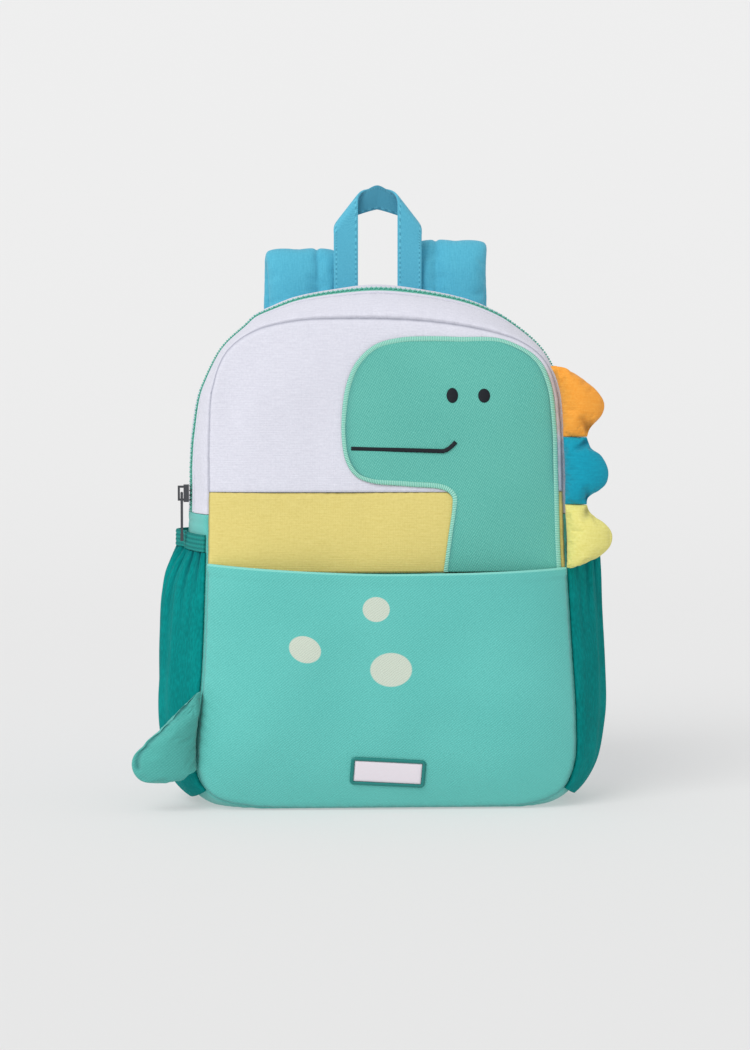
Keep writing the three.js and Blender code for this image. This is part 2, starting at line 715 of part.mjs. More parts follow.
function addLabel() {
  const centre = { x: 0, z: LABEL_RISE };
  const plate = (shrink, corner) =>
    roundedRectangle(
      LABEL_WIDTH - 2 * shrink,
      LABEL_HEIGHT - 2 * shrink,
      corner,
      centre,
      LABEL_TILT_DEG,
    );
  const outer = plate(0, LABEL_CORNER);
  const hole = plate(LABEL_RIM, LABEL_CORNER / 2);
  const field = plate(LABEL_RIM + SEAM_GAP, LABEL_CORNER / 2);
  const rim = layerOver(outer, onPocket, SEAM_GAP, LABEL_RIM_THICKNESS, 3)
    .intersect(frontPrism(outer))
    .subtract(frontPrism(hole));
  addPiece("label_frame", fromSolid(rim), tealRubber);
  const middle = layerOver(outer, onPocket, SEAM_GAP, LABEL_FIELD_THICKNESS, 3);
  addPiece("label_field", fromSolid(middle.intersect(frontPrism(field))), paleRubber);
}

// The room that a side pocket keeps from the bag, up its height: rise is a share of the pocket's height, and left
// and right are shares of SIDE_POCKET_ROOM. The left mouth hugs the bag and the right one stands open.
const POCKET_TABLE = [
  { rise: 0, left: 0.17, right: 0.17 },
  { rise: 0.1, left: 0.46, right: 0.4 },
  { rise: 0.3, left: 0.86, right: 0.72 },
  { rise: 0.55, left: 1, right: 0.82 },
  { rise: 0.75, left: 0.98, right: 0.8 },
  { rise: 0.88, left: 0.72, right: 0.82 },
  { rise: 0.96, left: 0.3, right: 0.8 },
  { rise: 1, left: 0.01, right: 0.78 },
];

// How far the pocket stands off the gusset at a rise and a place across it. Behind the zip the left mouth gapes a
// little, so that a hand finds it.
function pocketRoom(name, rise, across) {
  const next = Math.max(
    POCKET_TABLE.findIndex((row) => row.rise >= rise),
    1,
  );
  const low = POCKET_TABLE[next - 1];
  const high = POCKET_TABLE[next];
  const share = mix(low[name], high[name], (rise - low.rise) / (high.rise - low.rise));
  const gape = name === "left" ? Math.max(1 - ((across - GAPE_PLACE) / GAPE_SHARE) ** 2, 0) : 0;
  return SIDE_POCKET_ROOM * share * arch(across) + MOUTH_GAPE * gape * rise ** 4;
}

function addSidePocket(name, side) {
  const stations = pocketStations(side);
  const bindingStart = seamShare(side, SIDE_POCKET_TOP + SEAM_GAP);
  const bindingEnd = seamShare(side, SIDE_POCKET_TOP + BINDING_HEIGHT);
  const pocket = (u, v) => {
    const share = stationAt(stations, v * POCKET_ROWS);
    const rise = Math.min(Math.max((share - stations[0]) / (stations[POCKET_ROWS] - stations[0]), 0), 1);
    const room = pocketRoom(name, rise, u);
    const gather = GATHER_DEPTH * Math.sqrt(rise) * Math.cos(2 * Math.PI * GATHERS * u) * arch(u);
    const proud = SEAM_GAP + SIDE_POCKET_CLOTH + room + Math.max(gather, -room / 2);
    return onGusset(share, u, proud, SEAM_GAP);
  };
  addPiece(`side_pocket_${name}`, wallSolid(pocket, 20, POCKET_ROWS, SIDE_POCKET_CLOTH), tealCloth);
  const binding = (u, v) => {
    const proud = 2 * SEAM_GAP + BINDING_THICKNESS + pocketRoom(name, 1, u);
    return onGusset(mix(bindingStart, bindingEnd, v), u, proud);
  };
  addPiece(`side_binding_${name}`, wallSolid(binding, 20, 1, BINDING_THICKNESS), tealCloth);
}

// A stuffed piece sewn into the seam: base and tip give the place of its sewn edge and of its outer edge in the
// x-z plane, and it is thickest in the middle.
function stuffedSolid(base, tip, thickness, forward, columns, rows) {
  const surface = (side) => (c, r) => {
    const u = c / columns;
    const v = r / rows;
    const from = base(u);
    const to = tip(u);
    const outward = Math.sin(Math.PI * mix(BASE_SHARE, 1, v));
    const swell = Math.sqrt(Math.max(Math.sin(Math.PI * u) * outward, 0));
    const half = thickness * (side < 0 ? FRONT_SHARE : 1 - FRONT_SHARE);
    const y = frontY(mix(from.z, to.z, v)) - STUFFED_LIFT - forward * v;
    return new THREE.Vector3(
      mix(from.x, to.x, v),
      y + side * (SEWN_EDGE / 2 + half * swell),
      mix(from.z, to.z, v),
    );
  };
  return solidBetween(surface(-1), surface(1), columns, rows);
}

// Each spike's outer edge, from its top to its bottom: reach is a share of SPIKE_REACH beyond half the body's width
// and drop a share of the spike's own height. The edges meet at the valleys, where the cloth is pinched.
const SPIKE_TABLES = {
  orange: [
    { reach: -0.2, drop: 0 },
    { reach: 0.11, drop: 0.07 },
    { reach: 0.44, drop: 0.2 },
    { reach: 0.72, drop: 0.37 },
    { reach: 0.86, drop: 0.54 },
    { reach: 0.8, drop: 0.69 },
    { reach: 0.55, drop: 0.885 },
    { reach: 0.49, drop: 1 },
  ],
  blue: [
    { reach: 0.48, drop: 0 },
    { reach: 0.58, drop: 0.16 },
    { reach: 0.8, drop: 0.29 },
    { reach: 0.94, drop: 0.5 },
    { reach: 0.9, drop: 0.68 },
    { reach: 0.74, drop: 0.79 },
    { reach: 0.51, drop: 0.9 },
    { reach: 0.485, drop: 1 },
  ],
  yellow: [
    { reach: 0.485, drop: 0 },
    { reach: 0.55, drop: 0.12 },
    { reach: 0.88, drop: 0.31 },
    { reach: 1.03, drop: 0.47 },
    { reach: 1, drop: 0.62 },
    { reach: 0.82, drop: 0.77 },
    { reach: 0.5, drop: 0.91 },
    { reach: 0.12, drop: 1 },
  ],
};

function addSpikes() {
  const finishes = { orange: orangeCloth, blue: blueCloth, yellow: paleYellowCloth };
  let top = SPIKES_TOP;
  for (const [name, height] of Object.entries(SPIKE_HEIGHTS)) {
    const spikeTop = top - SEAM_GAP / 2;
    const spikeHeight = height - SEAM_GAP;
    const place = (row) =>
      new THREE.Vector3(HALF_WIDTH + row.reach * SPIKE_REACH, 0, spikeTop - row.drop * spikeHeight);
    const edge = new THREE.CatmullRomCurve3(SPIKE_TABLES[name].map(place));
    const base = (u) => {
      const z = spikeTop - u * spikeHeight;
      return { x: seamAt(seamShare(1, z)).x + SEAM_GAP * 2, z };
    };
    const tip = (u) => edge.getPointAt(u);
    const spike = stuffedSolid(base, tip, SPIKE_THICKNESS, SPIKE_FORWARD, 8, 5);
    addPiece(`spike_${name}`, spike, finishes[name]);
    top -= height;
  }
}

// The tail's outer edge, from its top round the tip to its lower end: reach and drop as for the spikes.
const TAIL_TABLE = [
  { reach: 0.02, drop: 0.02 },
  { reach: 0.3, drop: 0.24 },
  { reach: 0.6, drop: 0.48 },
  { reach: 0.84, drop: 0.67 },
  { reach: 0.99, drop: 0.82 },
  { reach: 1, drop: 0.97 },
  { reach: 0.88, drop: 1.1 },
  { reach: 0.62, drop: 1.14 },
  { reach: 0.3, drop: 1.11 },
  { reach: 0.06, drop: 1 },
];

function addTail() {
  const edge = new THREE.CatmullRomCurve3(
    TAIL_TABLE.map(
      (row) => new THREE.Vector3(-row.reach * TAIL_REACH, 0, -row.drop * TAIL_SEAM_LENGTH),
    ),
  );
  const base = (u) => {
    const z = TAIL_TOP - u * TAIL_SEAM_LENGTH;
    return { x: seamAt(seamShare(-1, z)).x - SEAM_GAP * 2, z };
  };
  const tip = (u) => {
    const p = edge.getPointAt(u);
    return { x: base(0.5).x + p.x, z: TAIL_TOP + p.z };
  };
  addPiece("tail", stuffedSolid(base, tip, TAIL_THICKNESS, TAIL_FORWARD, 10, 6), mintTwill);
}

// A closed solid through rings of points, with a flat cap at each end.
function ringSolid(rings) {
  const sides = rings[0].length;
  const points = rings.flat();
  const triangles = [];
  for (let r = 0; r + 1 < rings.length; r++)
    for (let i = 0; i < sides; i++) {
      const j = (i + 1) % sides;
      const a = r * sides;
      const b = a + sides;
      triangles.push([a + i, a + j, b + j], [a + i, b + j, b + i]);
    }
  for (const end of [0, rings.length - 1]) {
    const middle = new THREE.Vector3();
    rings[end].forEach((p) => middle.addScaledVector(p, 1 / sides));
    const centre = points.push(middle) - 1;
    for (let i = 0; i < sides; i++) {
      const a = end * sides + i;
      const b = end * sides + ((i + 1) % sides);
      triangles.push(end ? [centre, a, b] : [centre, b, a]);
    }
  }
  return closedGeometry(points, triangles);
}

// A band swept along a curve. widthAt gives its width direction, and sizeAt its width and thickness there.
function sweptBand(curve, steps, sides, widthAt, sizeAt) {
  const rings = [];
  for (let s = 0; s <= steps; s++) {
    const share = s / steps;
    const centre = curve.getPointAt(share);
    const along = curve.getTangentAt(share);
    const wide = widthAt(share).addScaledVector(along, -widthAt(share).dot(along)).normalize();
    const thick = along.clone().cross(wide);
    const { width, thickness } = sizeAt(share);
    const ring = [];
    for (let i = 0; i < sides; i++) {
      const angle = ((i + 0.5) / sides) * 2 * Math.PI;
      const flat = sides > 4 ? 0.45 : 0.001;
      const across = Math.sign(Math.cos(angle)) * Math.abs(Math.cos(angle)) ** flat;
      const up = Math.sign(Math.sin(angle)) * Math.abs(Math.sin(angle)) ** flat;
      ring.push(
        centre
          .clone()
          .addScaledVector(wide, (across * width) / 2)
          .addScaledVector(thick, (up * thickness) / 2),
      );
    }
    rings.push(ring);
  }
  return ringSolid(rings);
}

const BACK_FACE = BACK_Y + BACK_PAD;
const smooth = (share) => share * share * (3 - 2 * share);
const sideways = () => new THREE.Vector3(1, 0, 0);

// The loop's leg and half of its top, from the sewn end to the middle: the band's centre and the way to its inner
// edge. The leg faces the front. It folds back over a slanting line, and its other face is on the front of the top.
function handleHalf() {
  const [slope, turn, lean] = [HANDLE_FOLD_SLOPE_DEG, HANDLE_FOLD_TURN_DEG, HANDLE_LEAN_DEG].map(THREE.MathUtils.degToRad);
  const bottom = BODY_HEIGHT - TAB_LENGTH;
  const halfWidth = HANDLE_WIDTH / 2;
  const foldLine = new THREE.Vector3(Math.cos(slope), 0, Math.sin(slope));
  const overFold = new THREE.Vector3(-Math.sin(slope), 0, Math.cos(slope));
  const slanted = foldLine.clone().multiplyScalar(halfWidth / Math.cos(slope));
  const level = new THREE.Vector3(halfWidth, 0, 0);
  const fold = (angle) =>
    new THREE.Vector3(0, HANDLE_FOLD_RADIUS * (1 - Math.cos(angle)), 0)
      .addScaledVector(foldLine, HANDLE_FOLD_RADIUS * angle * Math.tan(slope))
      .addScaledVector(overFold, HANDLE_FOLD_RADIUS * Math.sin(angle));
  const topZ = HANDLE_TOP - halfWidth * Math.cos(lean);
  const legY = onBack(HANDLE_SPREAD / 2, bottom).y + SEAM_GAP + HANDLE_THICKNESS / 2;
  const foldStart = new THREE.Vector3(-HANDLE_SPREAD / 2, legY, topZ - HANDLE_ARCH - fold(turn).z);
  const half = [];
  for (const z of [bottom, mix(bottom, foldStart.z, 0.5), foldStart.z - HANDLE_SLANT_LENGTH]) {
    half.push({ centre: new THREE.Vector3(foldStart.x, legY, z), wide: level.clone() });
  }
  const folds = 5;
  for (let i = 0; i <= folds; i++) {
    half.push({ centre: foldStart.clone().add(fold((turn * i) / folds)), wide: slanted.clone() });
  }
  const foldEnd = half[half.length - 1].centre;
  const middle = new THREE.Vector3(0, foldEnd.y + HANDLE_THICKNESS / 2, topZ);
  const upright = new THREE.Vector3(0, -halfWidth * Math.sin(lean), halfWidth * Math.cos(lean));
  const steps = 4;
  for (let i = 1; i <= steps; i++) {
    const share = i / steps;
    const centre = foldEnd.clone().lerp(middle, share);
    centre.z = mix(foldEnd.z, middle.z, 1 - (1 - share) ** 2);
    half.push({ centre, wide: slanted.clone().lerp(upright, smooth(share)) });
  }
  return half;
}

function addHandle() {
  const half = handleHalf();
  const across = new THREE.Vector3(-1, 1, 1);
  const other = half
    .slice(0, -1)
    .map((row) => ({ centre: row.centre.clone().multiply(across), wide: row.wide.clone().multiply(across) }))
    .reverse();
  const rows = [...half, ...other];
  const rings = rows.map(({ centre, wide }, i) => {
    const before = rows[Math.max(i - 1, 0)].centre;
    const after = rows[Math.min(i + 1, rows.length - 1)].centre;
    const thick = after.clone().sub(before).cross(wide).setLength(HANDLE_THICKNESS / 2);
    const corner = (side, up) => centre.clone().addScaledVector(wide, side).addScaledVector(thick, up);
    return [corner(1, 1), corner(-1, 1), corner(-1, -1), corner(1, -1)];
  });
  addPiece("handle", ringSolid(rings), strapBlue);
}

// A shoulder strap's path from its sewn end over the fold and down: out is a share of STRAP_FLARE, back one of
// STRAP_STANDOFF, and z runs between the named heights. width is a share of STRAP_WIDTH.
const STRAP_TABLE = [
  { out: 0, back: 0.3, from: "seam", rise: 0, width: 0.94 },
  { out: 0, back: 0.42, from: "seam", rise: 0.45, width: 0.97 },
  { out: 0.02, back: 0.6, from: "seam", rise: 0.82, width: 1 },
  { out: 0.04, back: 1.05, from: "seam", rise: 1, width: 1 },
  { out: 0.06, back: 1.52, from: "seam", rise: 0.86, width: 1 },
  { out: 0.08, back: 1.62, from: "seam", rise: 0.5, width: 1 },
  { out: 0.14, back: 1.55, from: "end", rise: 0.95, width: 0.98 },
  { out: 0.32, back: 1.4, from: "end", rise: 0.72, width: 0.93 },
  { out: 0.58, back: 1.22, from: "end", rise: 0.46, width: 0.86 },
  { out: 0.84, back: 0.98, from: "end", rise: 0.2, width: 0.8 },
  { out: 1, back: 0.8, from: "end", rise: 0, width: 0.74 },
];

function addStrap(name, side, top) {
  const seamZ = BODY_HEIGHT - STRAP_SEAM_DROP;
  const foldZ = top - STRAP_THICKNESS / 2;
  const place = (row) =>
    new THREE.Vector3(
      side * (STRAP_SPREAD / 2 + row.out * STRAP_FLARE),
      BACK_FACE + BACK_CROWN + row.back * STRAP_STANDOFF,
      row.from === "seam" ? mix(seamZ, foldZ, row.rise) : mix(STRAP_END, seamZ, row.rise),
    );
  const curve = new THREE.CatmullRomCurve3(STRAP_TABLE.map(place));
  const sizeAt = (share) => {
    const row = share * (STRAP_TABLE.length - 1);
    const low = STRAP_TABLE[Math.floor(row)];
    const high = STRAP_TABLE[Math.ceil(row)];
    return { width: STRAP_WIDTH * mix(low.width, high.width, row % 1), thickness: STRAP_THICKNESS };
  };
  addPiece(`shoulder_strap_${name}`, sweptBand(curve, 22, 8, sideways, sizeAt), strapBlue);
  return { end: curve.getPoint(1), along: curve.getTangent(1) };
}

// The strap's lower end: webbing runs from under the strap to a tab in the lower corner of the back seam, and
// a ladder adjuster sits on it.
function addStrapEnd(name, side, { end, along }) {
  const corner = seamAt(seamShare(side, LOWER_CORNER));
  const tabY = BACK_FACE + BACK_CROWN + TAB_THICKNESS / 2;
  const tabStart = new THREE.Vector3(corner.x - side * TAB_INSET, tabY, corner.z - TAB_DROP);
  const tabTop = corner.z + TAB_LENGTH * TAB_SLOPE;
  const tabStop = new THREE.Vector3(corner.x - side * TAB_LENGTH, tabY, tabTop);
  const tabSize = (share) => ({
    width: WEBBING_WIDTH * mix(TAB_NARROW, TAB_WIDE, share),
    thickness: TAB_THICKNESS,
  });
  const tabRun = new THREE.LineCurve3(tabStart, tabStop);
  addPiece(`strap_tab_${name}`, sweptBand(tabRun, 2, 4, sideways, tabSize), strapBlue);

  const start = end.clone().addScaledVector(along, SEAM_GAP);
  const stop = tabStart.clone().lerp(tabStop, WEBBING_END);
  stop.y += (TAB_THICKNESS + WEBBING_THICKNESS) / 2 + SEAM_GAP * 2;
  const lead = start.clone().addScaledVector(along, TAB_LENGTH / 2);
  const overTab = tabStop.clone();
  overTab.y = stop.y + SEAM_GAP * 2;
  const run = new THREE.CatmullRomCurve3([start, lead, overTab, stop], false, "centripetal");
  const webbingSize = { width: WEBBING_WIDTH, thickness: WEBBING_THICKNESS };
  const band = sweptBand(run, 10, 4, sideways, () => webbingSize);
  addPiece(`strap_webbing_${name}`, band, strapBlue);

  const place = run.getPointAt(ADJUSTER_PLACE);
  const upward = run.getTangentAt(ADJUSTER_PLACE).negate();
  const across = sideways().addScaledVector(upward, -upward.x).normalize();
  const out = across.clone().cross(upward).normalize();
  if (out.y < 0) {
    out.negate();
    across.negate();
  }
  place.addScaledVector(out, WEBBING_THICKNESS / 2 + SEAM_GAP);
  const frame = roundedRectangle(ADJUSTER_WIDTH, ADJUSTER_HEIGHT, ADJUSTER_CORNER, { x: 0, z: 0 }, 0);
  const slotWidth = WEBBING_WIDTH + SLOT_ROOM;
  const shape = new THREE.Shape(frame.map((p) => new THREE.Vector2(p.x, p.z)));
  for (const level of [-1, 1]) {
    const middle = { x: 0, z: level * ADJUSTER_SLOT_RISE };
    const slot = roundedRectangle(slotWidth, ADJUSTER_SLOT, ADJUSTER_SLOT / 3, middle, 0);
    shape.holes.push(new THREE.Path(slot.map((p) => new THREE.Vector2(p.x, p.z))));
  }
  const buckle = new THREE.ExtrudeGeometry(shape, {
    depth: ADJUSTER_THICKNESS,
    bevelEnabled: false,
  });
  const mesh = addPiece(`adjuster_${name}`, buckle, tealRubber);
  mesh.applyMatrix4(new THREE.Matrix4().makeBasis(across, upward, out).setPosition(place));
}

// A box with its size and middle, as a geometry.
function block(width, depth, height, x, y, z) {
  return new THREE.BoxGeometry(width, depth, height).translate(x, y, z);
}

// The slider rides on the zip's coil at the left. The pull's pin turns under the slider's bridge.
function addZipPull(zipMiddle) {
  const level = ZIP_END_HEIGHT + SLIDER_RISE;
  const coil = onGusset(seamShare(-1, level), zipMiddle, COIL_HEIGHT);
  const face = coil.x - SEAM_GAP - SLIDER_THICKNESS;
  const pinRadius = PIN_DIAMETER / 2;
  const pinX = face - RUNNING_GAP - pinRadius;
  const bridgeX = pinX - pinRadius - RUNNING_GAP - BRIDGE_WIRE / 2;
  const body = block(
    SLIDER_THICKNESS,
    SLIDER_WIDTH,
    SLIDER_HEIGHT,
    face + SLIDER_THICKNESS / 2,
    coil.y,
    level,
  );
  const legReach = face - bridgeX + BRIDGE_WIRE / 2 + SEAM_GAP;
  const legX = face + SEAM_GAP - legReach / 2;
  const legRise = SLIDER_HEIGHT / 2 - BRIDGE_WIRE;
  const bridge = [
    block(BRIDGE_WIRE, BRIDGE_WIRE, legRise * 2 + BRIDGE_WIRE, bridgeX, coil.y, level),
    block(legReach, BRIDGE_WIRE, BRIDGE_WIRE, legX, coil.y, level + legRise),
    block(legReach, BRIDGE_WIRE, BRIDGE_WIRE, legX, coil.y, level - legRise),
  ];
  const slider = bridge.reduce((joined, part) => joined.add(toSolid(part)), toSolid(body));
  addPiece("zip_slider", fromSolid(slider), darkMetal);

  const pin = new THREE.CylinderGeometry(pinRadius, pinRadius, PULL_FORK, 10);
  pin.translate(pinX, coil.y, level);
  const cheekWidth = (PULL_FORK - BRIDGE_WIRE - 2 * RUNNING_GAP) / 2;
  const cheekLength = legRise + BRIDGE_WIRE + PIN_DIAMETER;
  const parts = [-1, 1].map((side) =>
    block(
      PULL_THICKNESS,
      cheekWidth,
      cheekLength,
      pinX,
      coil.y + (side * (PULL_FORK - cheekWidth)) / 2,
      level - cheekLength / 2 + pinRadius / 2,
    ),
  );
  const yokeTop = level - cheekLength + pinRadius;
  const stemEnd = level - PULL_LENGTH;
  parts.push(block(PULL_THICKNESS, PULL_FORK, PULL_THICKNESS, pinX, coil.y, yokeTop));
  parts.push(
    block(PULL_THICKNESS, PULL_WIDTH, yokeTop - stemEnd, pinX, coil.y, (yokeTop + stemEnd) / 2),
  );
  parts.push(block(TIP_THICKNESS, TIP_WIDTH, TIP_LENGTH, pinX, coil.y, stemEnd));
  const pull = parts.reduce((joined, part) => joined.add(toSolid(part)), toSolid(pin));
  addPiece("zip_pull", fromSolid(pull), darkMetal);
}

addFrontPanels();
addBackPanel();
const { zipMiddle } = addGusset();
addFrontPocket();
addHead();
addFace();
addLabel();
addSidePocket("left", -1);
addSidePocket("right", 1);
addSpikes();
addTail();
addHandle();
addStrapEnd("left", -1, addStrap("left", -1, STRAP_TOP_LEFT));
addStrapEnd("right", 1, addStrap("right", 1, STRAP_TOP_RIGHT));
addZipPull(zipMiddle);

export default group;
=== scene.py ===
"""The looks of a small child's backpack with a dinosaur: its cloth, padding, zip and stitching."""

import math

import bpy
import numpy as np
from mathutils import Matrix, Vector


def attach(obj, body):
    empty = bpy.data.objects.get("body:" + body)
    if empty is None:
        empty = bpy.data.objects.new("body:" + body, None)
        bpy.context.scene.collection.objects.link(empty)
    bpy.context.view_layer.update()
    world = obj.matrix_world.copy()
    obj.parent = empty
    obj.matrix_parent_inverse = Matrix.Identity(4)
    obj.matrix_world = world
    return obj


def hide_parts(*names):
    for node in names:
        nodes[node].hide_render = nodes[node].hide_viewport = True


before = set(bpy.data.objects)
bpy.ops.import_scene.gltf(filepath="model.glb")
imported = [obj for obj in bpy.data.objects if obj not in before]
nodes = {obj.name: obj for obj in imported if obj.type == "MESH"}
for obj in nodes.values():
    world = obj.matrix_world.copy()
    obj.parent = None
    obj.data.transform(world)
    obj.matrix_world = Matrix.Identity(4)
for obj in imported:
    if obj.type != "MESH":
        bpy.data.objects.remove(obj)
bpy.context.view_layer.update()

# The studio. The bag stands on a seamless pale sweep that rises behind it. A broad soft light comes from the
# front left, and the pale room fills the shadows.


class Value:
    """A socket of a shader. Arithmetic on it adds the Math node that does it."""

    def __init__(self, tree, socket):
        self.tree = tree
        self.socket = socket

    def math(self, operation, *others, flip=False):
        node = self.tree.nodes.new("ShaderNodeMath")
        node.operation = operation
        values = (self, *others)
        for slot, value in zip(node.inputs, values[::-1] if flip else values):
            if isinstance(value, Value):
                self.tree.links.new(value.socket, slot)
            else:
                slot.default_value = value
        return Value(self.tree, node.outputs[0])

    def __add__(self, other):
        return self.math("ADD", other)

    def __radd__(self, other):
        return self.math("ADD", other, flip=True)

    def __sub__(self, other):
        return self.math("SUBTRACT", other)

    def __rsub__(self, other):
        return self.math("SUBTRACT", other, flip=True)

    def __mul__(self, other):
        return self.math("MULTIPLY", other)

    def __rmul__(self, other):
        return self.math("MULTIPLY", other, flip=True)

    def __truediv__(self, other):
        return self.math("DIVIDE", other)

    def __rtruediv__(self, other):
        return self.math("DIVIDE", other, flip=True)

    def wave(self, pitch):
        """A sine from 0 to 1 with that wavelength in metres."""
        return (self * (2 * math.pi / pitch)).math("SINE") * 0.5 + 0.5

    def ramp(self, low, high):
        """0 below low, 1 above high and smooth between them."""
        node = self.tree.nodes.new("ShaderNodeMapRange")
        node.interpolation_type = "SMOOTHSTEP"
        self.tree.links.new(self.socket, node.inputs[0])
        node.inputs[1].default_value = low
        node.inputs[2].default_value = high
        return Value(self.tree, node.outputs[0])


class Finish:
    """A material with one Principled shader, whose sockets are set by name to a constant or a Value."""

    def __init__(self, name, colour, roughness, **sockets):
        self.material = bpy.data.materials.new(name)
        self.material.use_nodes = True
        self.tree = self.material.node_tree
        self.shader = self.tree.nodes["Principled BSDF"]
        self.paint(colour)
        self.put(self.shader.inputs["Roughness"], roughness)
        for key, value in sockets.items():
            self.put(self.shader.inputs[key.replace("_", " ")], value)

    def put(self, slot, value):
        if isinstance(value, Value):
            self.tree.links.new(value.socket, slot)
        elif slot.type == "RGBA":
            slot.default_value = (*value, 1)
        else:
            slot.default_value = value

    def paint(self, colour):
        self.put(self.shader.inputs["Base Color"], colour)

    def painted(self):
        """The colour that a node already gives to the base colour."""
        return Value(self.tree, self.shader.inputs["Base Color"].links[0].from_socket)

    def node(self, kind, settings=(), output=0, **inputs):
        """Any other node: its settings, its inputs by name (or _0, _1 by number), and one of its outputs."""
        node = self.tree.nodes.new("ShaderNode" + kind)
        for key, value in dict(settings).items():
            setattr(node, key, value)
        for key, value in inputs.items():
            slot = node.inputs[int(key[1:])] if key[0] == "_" else node.inputs[key.replace("_", " ")]
            self.put(slot, value)
        return Value(self.tree, node.outputs[output])

    def plane(self, source="UV"):
        """The two coordinates in metres: the piece's UV, or its place seen from the front."""
        found = self.node("TexCoord", output=2 if source == "UV" else 3)
        split = self.tree.nodes.new("ShaderNodeSeparateXYZ")
        self.tree.links.new(found.socket, split.inputs[0])
        second = 1 if source == "UV" else 2
        return Value(self.tree, split.outputs[0]), Value(self.tree, split.outputs[second])

    def noise(self, x, y, cell_x, cell_y, detail=2.0):
        """Noise whose grains are about cell_x by cell_y metres."""
        where = self.node("CombineXYZ", X=x / cell_x, Y=y / cell_y)
        return self.node("TexNoise", {"noise_dimensions": "2D"}, Vector=where, Scale=1.0, Detail=detail)

    def blend(self, factor, low, high):
        return self.node("Mix", {"data_type": "RGBA"}, output=2, _0=factor, _6=low, _7=high)

    def paint_shade(self, strength):
        """Paints shade: a darker colour where the shade attribute says cloth lies deep in a seam or fold."""
        shade = self.node("Attribute", {"attribute_name": "shade"}, output=2) * strength
        multiply = {"data_type": "RGBA", "blend_type": "MULTIPLY"}
        dark = self.node("Mix", multiply, output=2, _0=1.0, _6=self.painted(), _7=(0.2, 0.22, 0.3))
        self.paint(self.blend(shade, self.painted(), dark))

    def relief(self, height, depth):
        """A bump of that depth in metres."""
        bump = self.node("Bump", Height=height, Distance=depth, Strength=1.0)
        self.put(self.shader.inputs["Normal"], bump)


def srgb(red, green, blue):
    """The linear colour of an 8-bit sRGB one."""
    return tuple(((c / 255 + 0.055) / 1.055) ** 2.4 if c > 10 else c / 3294.6 for c in (red, green, blue))


MM = 0.001


def make_mesh(name, points, faces, finish, uv=None, shade=None):
    """A mesh from points in millimetres and faces that all have the same number of corners. shade is painted
    shade: 1 where cloth lies deep in a seam."""
    mesh = bpy.data.meshes.new(name)
    mesh.vertices.add(len(points))
    mesh.vertices.foreach_set("co", (np.asarray(points) * MM).astype(np.float32).ravel())
    faces = np.asarray(faces, np.int32)
    mesh.loops.add(faces.size)
    mesh.loops.foreach_set("vertex_index", faces.ravel())
    mesh.polygons.add(len(faces))
    mesh.polygons.foreach_set("loop_start", np.arange(0, faces.size, faces.shape[1], dtype=np.int32))
    mesh.polygons.foreach_set("use_smooth", np.ones(len(faces), bool))
    if uv is not None:
        layer = mesh.uv_layers.new(name="UVMap")
        layer.data.foreach_set("uv", (uv * MM)[faces.ravel()].astype(np.float32).ravel())
    if shade is not None:
        depth = mesh.attributes.new("shade", "FLOAT", "POINT")
        depth.data.foreach_set("value", shade.astype(np.float32).ravel())
    mesh.update(calc_edges=True)
    mesh.validate()
    mesh.materials.append(finish.material)
    made = bpy.data.objects.new(name, mesh)
    bpy.context.scene.collection.objects.link(made)
    return made


scene = bpy.context.scene
scene.view_settings.view_transform = "Standard"
scene.view_settings.look = "None"

paper = Finish("studio_paper", (0.42, 0.42, 0.42), 0.95, Specular_IOR_Level=0.05)
paper.put(paper.shader.inputs["Emission Color"], (1, 1, 1))
paper.put(paper.shader.inputs["Emission Strength"], 0.40)
sweep_rows = 400
sweep_y = np.linspace(-40000, 9000, sweep_rows)
sweep_z = np.where(sweep_y > 1500, np.minimum(((sweep_y - 1500) / 2600) ** 2 * 1300, 6000), 0)
sweep_x = np.array([-20000.0, 20000.0])
sweep_points = np.stack([
    np.repeat(sweep_x[None], sweep_rows, 0),
    np.repeat(sweep_y[:, None], 2, 1),
    np.repeat(sweep_z[:, None], 2, 1),
], -1).reshape(-1, 3)
row = np.arange(sweep_rows - 1)[:, None] * 2
studio_sweep = make_mesh("studio_sweep", sweep_points, row + np.array([[0, 1, 3, 2]]), paper)

world = bpy.data.worlds.new("pale_room")
world.use_nodes = True
world.node_tree.nodes["Background"].inputs[0].default_value = (1, 1, 1, 1)
world.node_tree.nodes["Background"].inputs[1].default_value = 0.56
scene.world = world

sun = bpy.data.lights.new("window", "SUN")
sun.energy = 1.75
sun.angle = math.radians(38)
window = bpy.data.objects.new("window", sun)
window.rotation_euler = Vector((-0.44, -0.627, 0.643)).to_track_quat("Z", "Y").to_euler()
scene.collection.objects.link(window)

lens = bpy.data.cameras.new("camera")
lens.lens = 104
lens.sensor_width = 36
camera = bpy.data.objects.new("camera", lens)
aim = Vector((-0.0075, -0.05, 0.1795))
away = Vector((-0.0522, -0.9968, 0.061))
camera.location = aim + away * 1.9
camera.rotation_euler = away.to_track_quat("Z", "Y").to_euler()
scene.collection.objects.link(camera)
scene.camera = camera

